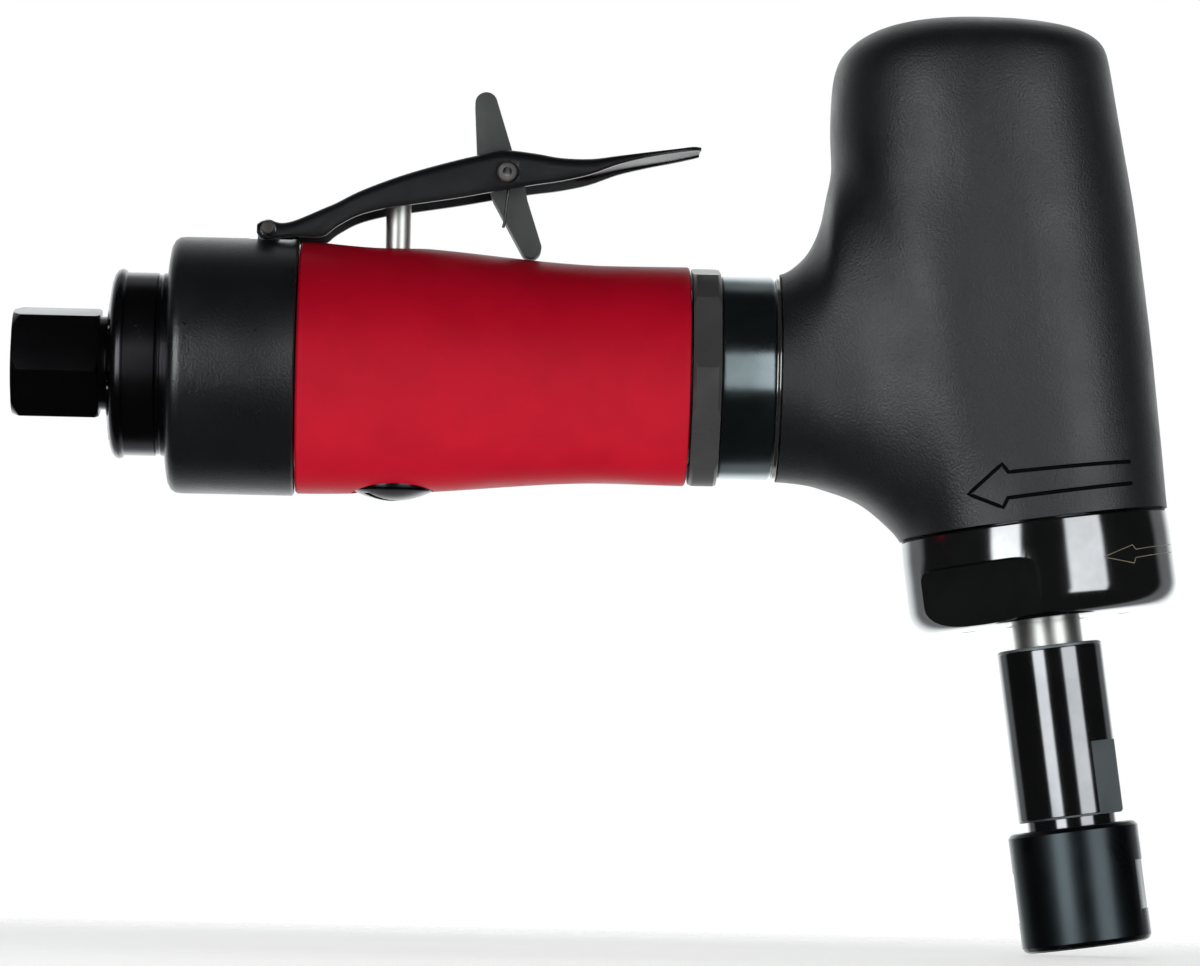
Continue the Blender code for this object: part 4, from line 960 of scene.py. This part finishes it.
def chuck_nut():
    side = [(-76.6, 8.2), (-76.6, 10.1), (-76.8, 10.6), (-77.4, 11.1), (-96.2, 11.1), (-96.9, 10.7)]
    mouth = [(-97.2, 10.1), (-97.2, 5.8), (-96.5, 5.0), (-95.3, 5.0)]
    bore = [(-93.6, 6.0), (-90.0, 6.0), (-90.0, 8.2)]
    body = lathe("satin_nut", side + mouth + bore, HEAD, 112)
    for half_turn in (0.0, 180.0):
        place = turned_about_z(HEAD, 75.0 + half_turn)
        carve(body, block("notch", (-12.0, -14.0, -91.8), (12.0, -10.55, -83.4), place))
    soften(body, 0.25, 3, 28.0)
    settle(body, NUT_BLACK, "spindle", "collet_nut", 25.0)


# ---- hidden pieces and vanes keep their modelled shape and get a finish ---------------------------

HIDDEN = {
    "inlet_screen": SCREEN,
    "muffler_felt": FELT,
    "valve_seat": BRONZE,
    "stem_bushing": BRONZE,
    "valve_spring": SPRING,
    "valve_seal": RUBBER,
    "motor_cylinder": STEEL,
    "rear_end_plate": STEEL,
    "rear_bearing": STEEL,
    "front_end_plate": STEEL,
    "front_bearing": STEEL,
}
HIDDEN.update({f"vane_{number}": PHENOLIC for number in range(1, 6)})


def finish_hidden():
    for node, material in HIDDEN.items():
        paint(frame["nodes"][node], material)


# ---- studio ---------------------------------------------------------------------------------------

# angles in degrees, lengths in metres; the view is as wide as VIEW_WIDTH at VIEW_DISTANCE
VIEW_AZIMUTH = -1.5
VIEW_ELEVATION = -3.9
VIEW_ROLL = 1.22
VIEW_DISTANCE = 1.05
VIEW_AIM = Vector((0.0008, 0.0, -0.0011))
VIEW_WIDTH = 0.2059


def direction(azimuth, elevation):
    """Unit vector out from the tool, with 0, 0 towards -Y."""
    a, e = math.radians(azimuth), math.radians(elevation)
    return Vector((math.sin(a) * math.cos(e), -math.cos(a) * math.cos(e), math.sin(e)))


def camera():
    data = bpy.data.cameras.new("camera")
    data.sensor_width = 36.0
    data.lens = data.sensor_width * VIEW_DISTANCE / VIEW_WIDTH
    data.clip_start = 0.05
    data.clip_end = 20.0
    obj = bpy.data.objects.new("camera", data)
    back = direction(VIEW_AZIMUTH, VIEW_ELEVATION)
    obj.location = VIEW_AIM + back * VIEW_DISTANCE
    obj.rotation_mode = "QUATERNION"
    roll = Quaternion((0.0, 0.0, 1.0), math.radians(VIEW_ROLL))
    obj.rotation_quaternion = (-back).to_track_quat("-Z", "Y") @ roll
    bpy.context.scene.collection.objects.link(obj)
    bpy.context.scene.camera = obj


def area_light(name, azimuth, elevation, distance, width, height, power):
    data = bpy.data.lights.new(name, "AREA")
    data.shape = "RECTANGLE"
    data.size = width
    data.size_y = height
    data.energy = power
    obj = bpy.data.objects.new(name, data)
    back = direction(azimuth, elevation)
    obj.location = back * distance
    obj.rotation_mode = "QUATERNION"
    obj.rotation_quaternion = (-back).to_track_quat("-Z", "Y")
    obj.visible_camera = False
    obj.visible_glossy = False
    bpy.context.scene.collection.objects.link(obj)


def studio_world():
    """Studio that turns with the camera, as on a turntable.

    The eye sees a white backdrop. Reflections see two softboxes beside the camera, a bright backdrop
    and dark walls between them. Diffuse light comes mostly from the front, and a little from below.
    """
    surround = bpy.data.worlds.new("studio")
    surround.use_nodes = True
    surround.cycles.sampling_method = "NONE"
    tree = surround.node_tree
    tree.nodes.clear()
    links = tree.links

    def value(kind, *inputs, **settings):
        node = tree.nodes.new("ShaderNode" + kind)
        for key, setting in settings.items():
            setattr(node, key, setting)
        for place, source in enumerate(inputs):
            if isinstance(source, (int, float)):
                node.inputs[place].default_value = source
            else:
                links.new(source, node.inputs[place])
        return node.outputs[0]

    def math_of(operation, *inputs):
        return value("Math", *inputs, operation=operation)

    def step(source, low, high):
        return value("MapRange", source, low, high, 0.0, 1.0, interpolation_type="SMOOTHSTEP")

    def window(source, low, high, edge):
        opened = step(source, math.radians(low - edge), math.radians(low + edge))
        closed = step(source, math.radians(high - edge), math.radians(high + edge))
        return math_of("SUBTRACT", opened, closed)

    coords = tree.nodes.new("ShaderNodeTexCoord")
    axes = tree.nodes.new("ShaderNodeSeparateXYZ")
    links.new(coords.outputs["Camera"], axes.inputs["Vector"])
    right, up, away = axes.outputs
    towards = math_of("MULTIPLY", away, -1.0)
    azimuth = math_of("ARCTAN2", right, towards)
    elevation = math_of("ARCSINE", up)

    def softbox(left_edge, right_edge, low, high, strength):
        across = window(azimuth, left_edge, right_edge, 2.0)
        upward = window(elevation, low, high, 2.0)
        return math_of("MULTIPLY", math_of("MULTIPLY", across, upward), strength)

    left_box = softbox(-43.0, -18.0, -12.0, 25.0, 3.3)
    right_box = softbox(21.0, 54.0, -12.0, 25.0, 2.4)
    boxes = math_of("ADD", left_box, right_box)
    backdrop = math_of("MULTIPLY", step(away, 0.38, 0.55), 0.3)
    bright_middle = math_of("MULTIPLY", step(away, 0.72, 0.92), 1.1)
    glossy = math_of("ADD", math_of("ADD", boxes, 0.02), math_of("ADD", backdrop, bright_middle))

    lowered = math_of("SUBTRACT", math_of("MULTIPLY", towards, 0.82), math_of("MULTIPLY", up, 0.56))
    diffuse = math_of("ADD", math_of("MULTIPLY", step(lowered, -0.15, 1.0), 1.3), 0.07)

    rays = tree.nodes.new("ShaderNodeLightPath")
    reflected = rays.outputs["Is Glossy Ray"]
    scattered = math_of("SUBTRACT", 1.0, reflected)
    mirrored = math_of("MULTIPLY", glossy, reflected)
    spread = math_of("MULTIPLY", diffuse, scattered)
    chosen = math_of("ADD", mirrored, spread)
    shine = tree.nodes.new("ShaderNodeBackground")
    shine.inputs["Color"].default_value = (0.96, 1.0, 1.0, 1.0)
    links.new(chosen, shine.inputs["Strength"])
    seen = tree.nodes.new("ShaderNodeBackground")
    seen.inputs["Strength"].default_value = 1.0
    seen.inputs["Color"].default_value = (1.0, 1.0, 1.0, 1.0)
    choose = tree.nodes.new("ShaderNodeMixShader")
    links.new(rays.outputs["Is Camera Ray"], choose.inputs["Fac"])
    links.new(shine.outputs[0], choose.inputs[1])
    links.new(seen.outputs[0], choose.inputs[2])
    output = tree.nodes.new("ShaderNodeOutputWorld")
    links.new(choose.outputs[0], output.inputs["Surface"])
    bpy.context.scene.world = surround


def floor():
    """Pale ground that fades into the backdrop away from the tool.

    It glows a little, and neither the tool's reflections nor its diffuse light see it.
    """
    low = cad_box[0][2] - 0.0002
    shape = bmesh.new()
    bmesh.ops.create_circle(shape, cap_ends=True, segments=96, radius=900.0)
    obj = mesh_object("studio_floor", shape, Matrix.Translation((0.0, 0.0, low)))
    n = Nodes("pale_floor")
    coords = n.add("TexCoord")
    noise = n.add("TexNoise", Scale=6.0, Detail=3.0)
    n.link(coords.outputs["Object"], noise.inputs["Vector"])
    tone = n.mix(n.ramp(noise.outputs["Fac"], 0.3, 0.7, 0.0, 1.0), (0.86, 0.86, 0.86), (0.9, 0.9, 0.9))
    n.link(tone, n.shader.inputs["Base Color"])
    n.shader.inputs["Roughness"].default_value = 0.6
    n.link(tone, n.shader.inputs["Emission Color"])
    n.shader.inputs["Emission Strength"].default_value = 0.62
    distance = n.add("VectorMath", operation="LENGTH")
    n.link(coords.outputs["Object"], distance.inputs[0])
    n.link(n.ramp(distance.outputs["Value"], 0.1, 0.6, 1.0, 0.0), n.shader.inputs["Alpha"])
    obj.data.materials.append(n.material)
    obj.visible_glossy = False
    obj.visible_diffuse = False


def studio():
    bpy.context.scene.view_settings.view_transform = "Standard"
    camera()
    studio_world()
    floor()
    area_light("soft_overhead", 20.0, 75.0, 1.4, 1.2, 1.2, 0.4)


# plain rotation arrows, as (x, z) corners in the head frame
ARROW = ((15.6, -16.6), (-5.4, -16.1), (-6.3, -14.6), (-12.4, -18.9),
         (-7.0, -21.9), (-6.0, -20.4), (15.4, -20.3))
ETCHED = ((22.0, -30.9), (14.8, -31.4), (14.3, -30.6), (8.8, -32.2),
          (14.2, -33.7), (14.6, -32.8), (22.0, -32.2))

inlet_bushing()
exhaust_collar()
rear_cover()
grip_sleeve()
handle_core()
lock_nut()
neck_rings()
push_pin()
plug()
throttle_lever()
pins()
safety_latch()
latch_spring()
casing = head_casing()
nose = nose_cap()
drawn_line("casing_arrow", ARROW, casing, 0.34, MARK)
drawn_line("nose_arrow", ETCHED, nose, 0.07, ETCH)
spindle()
chuck_body()
collet()
chuck_nut()
finish_hidden()
studio()
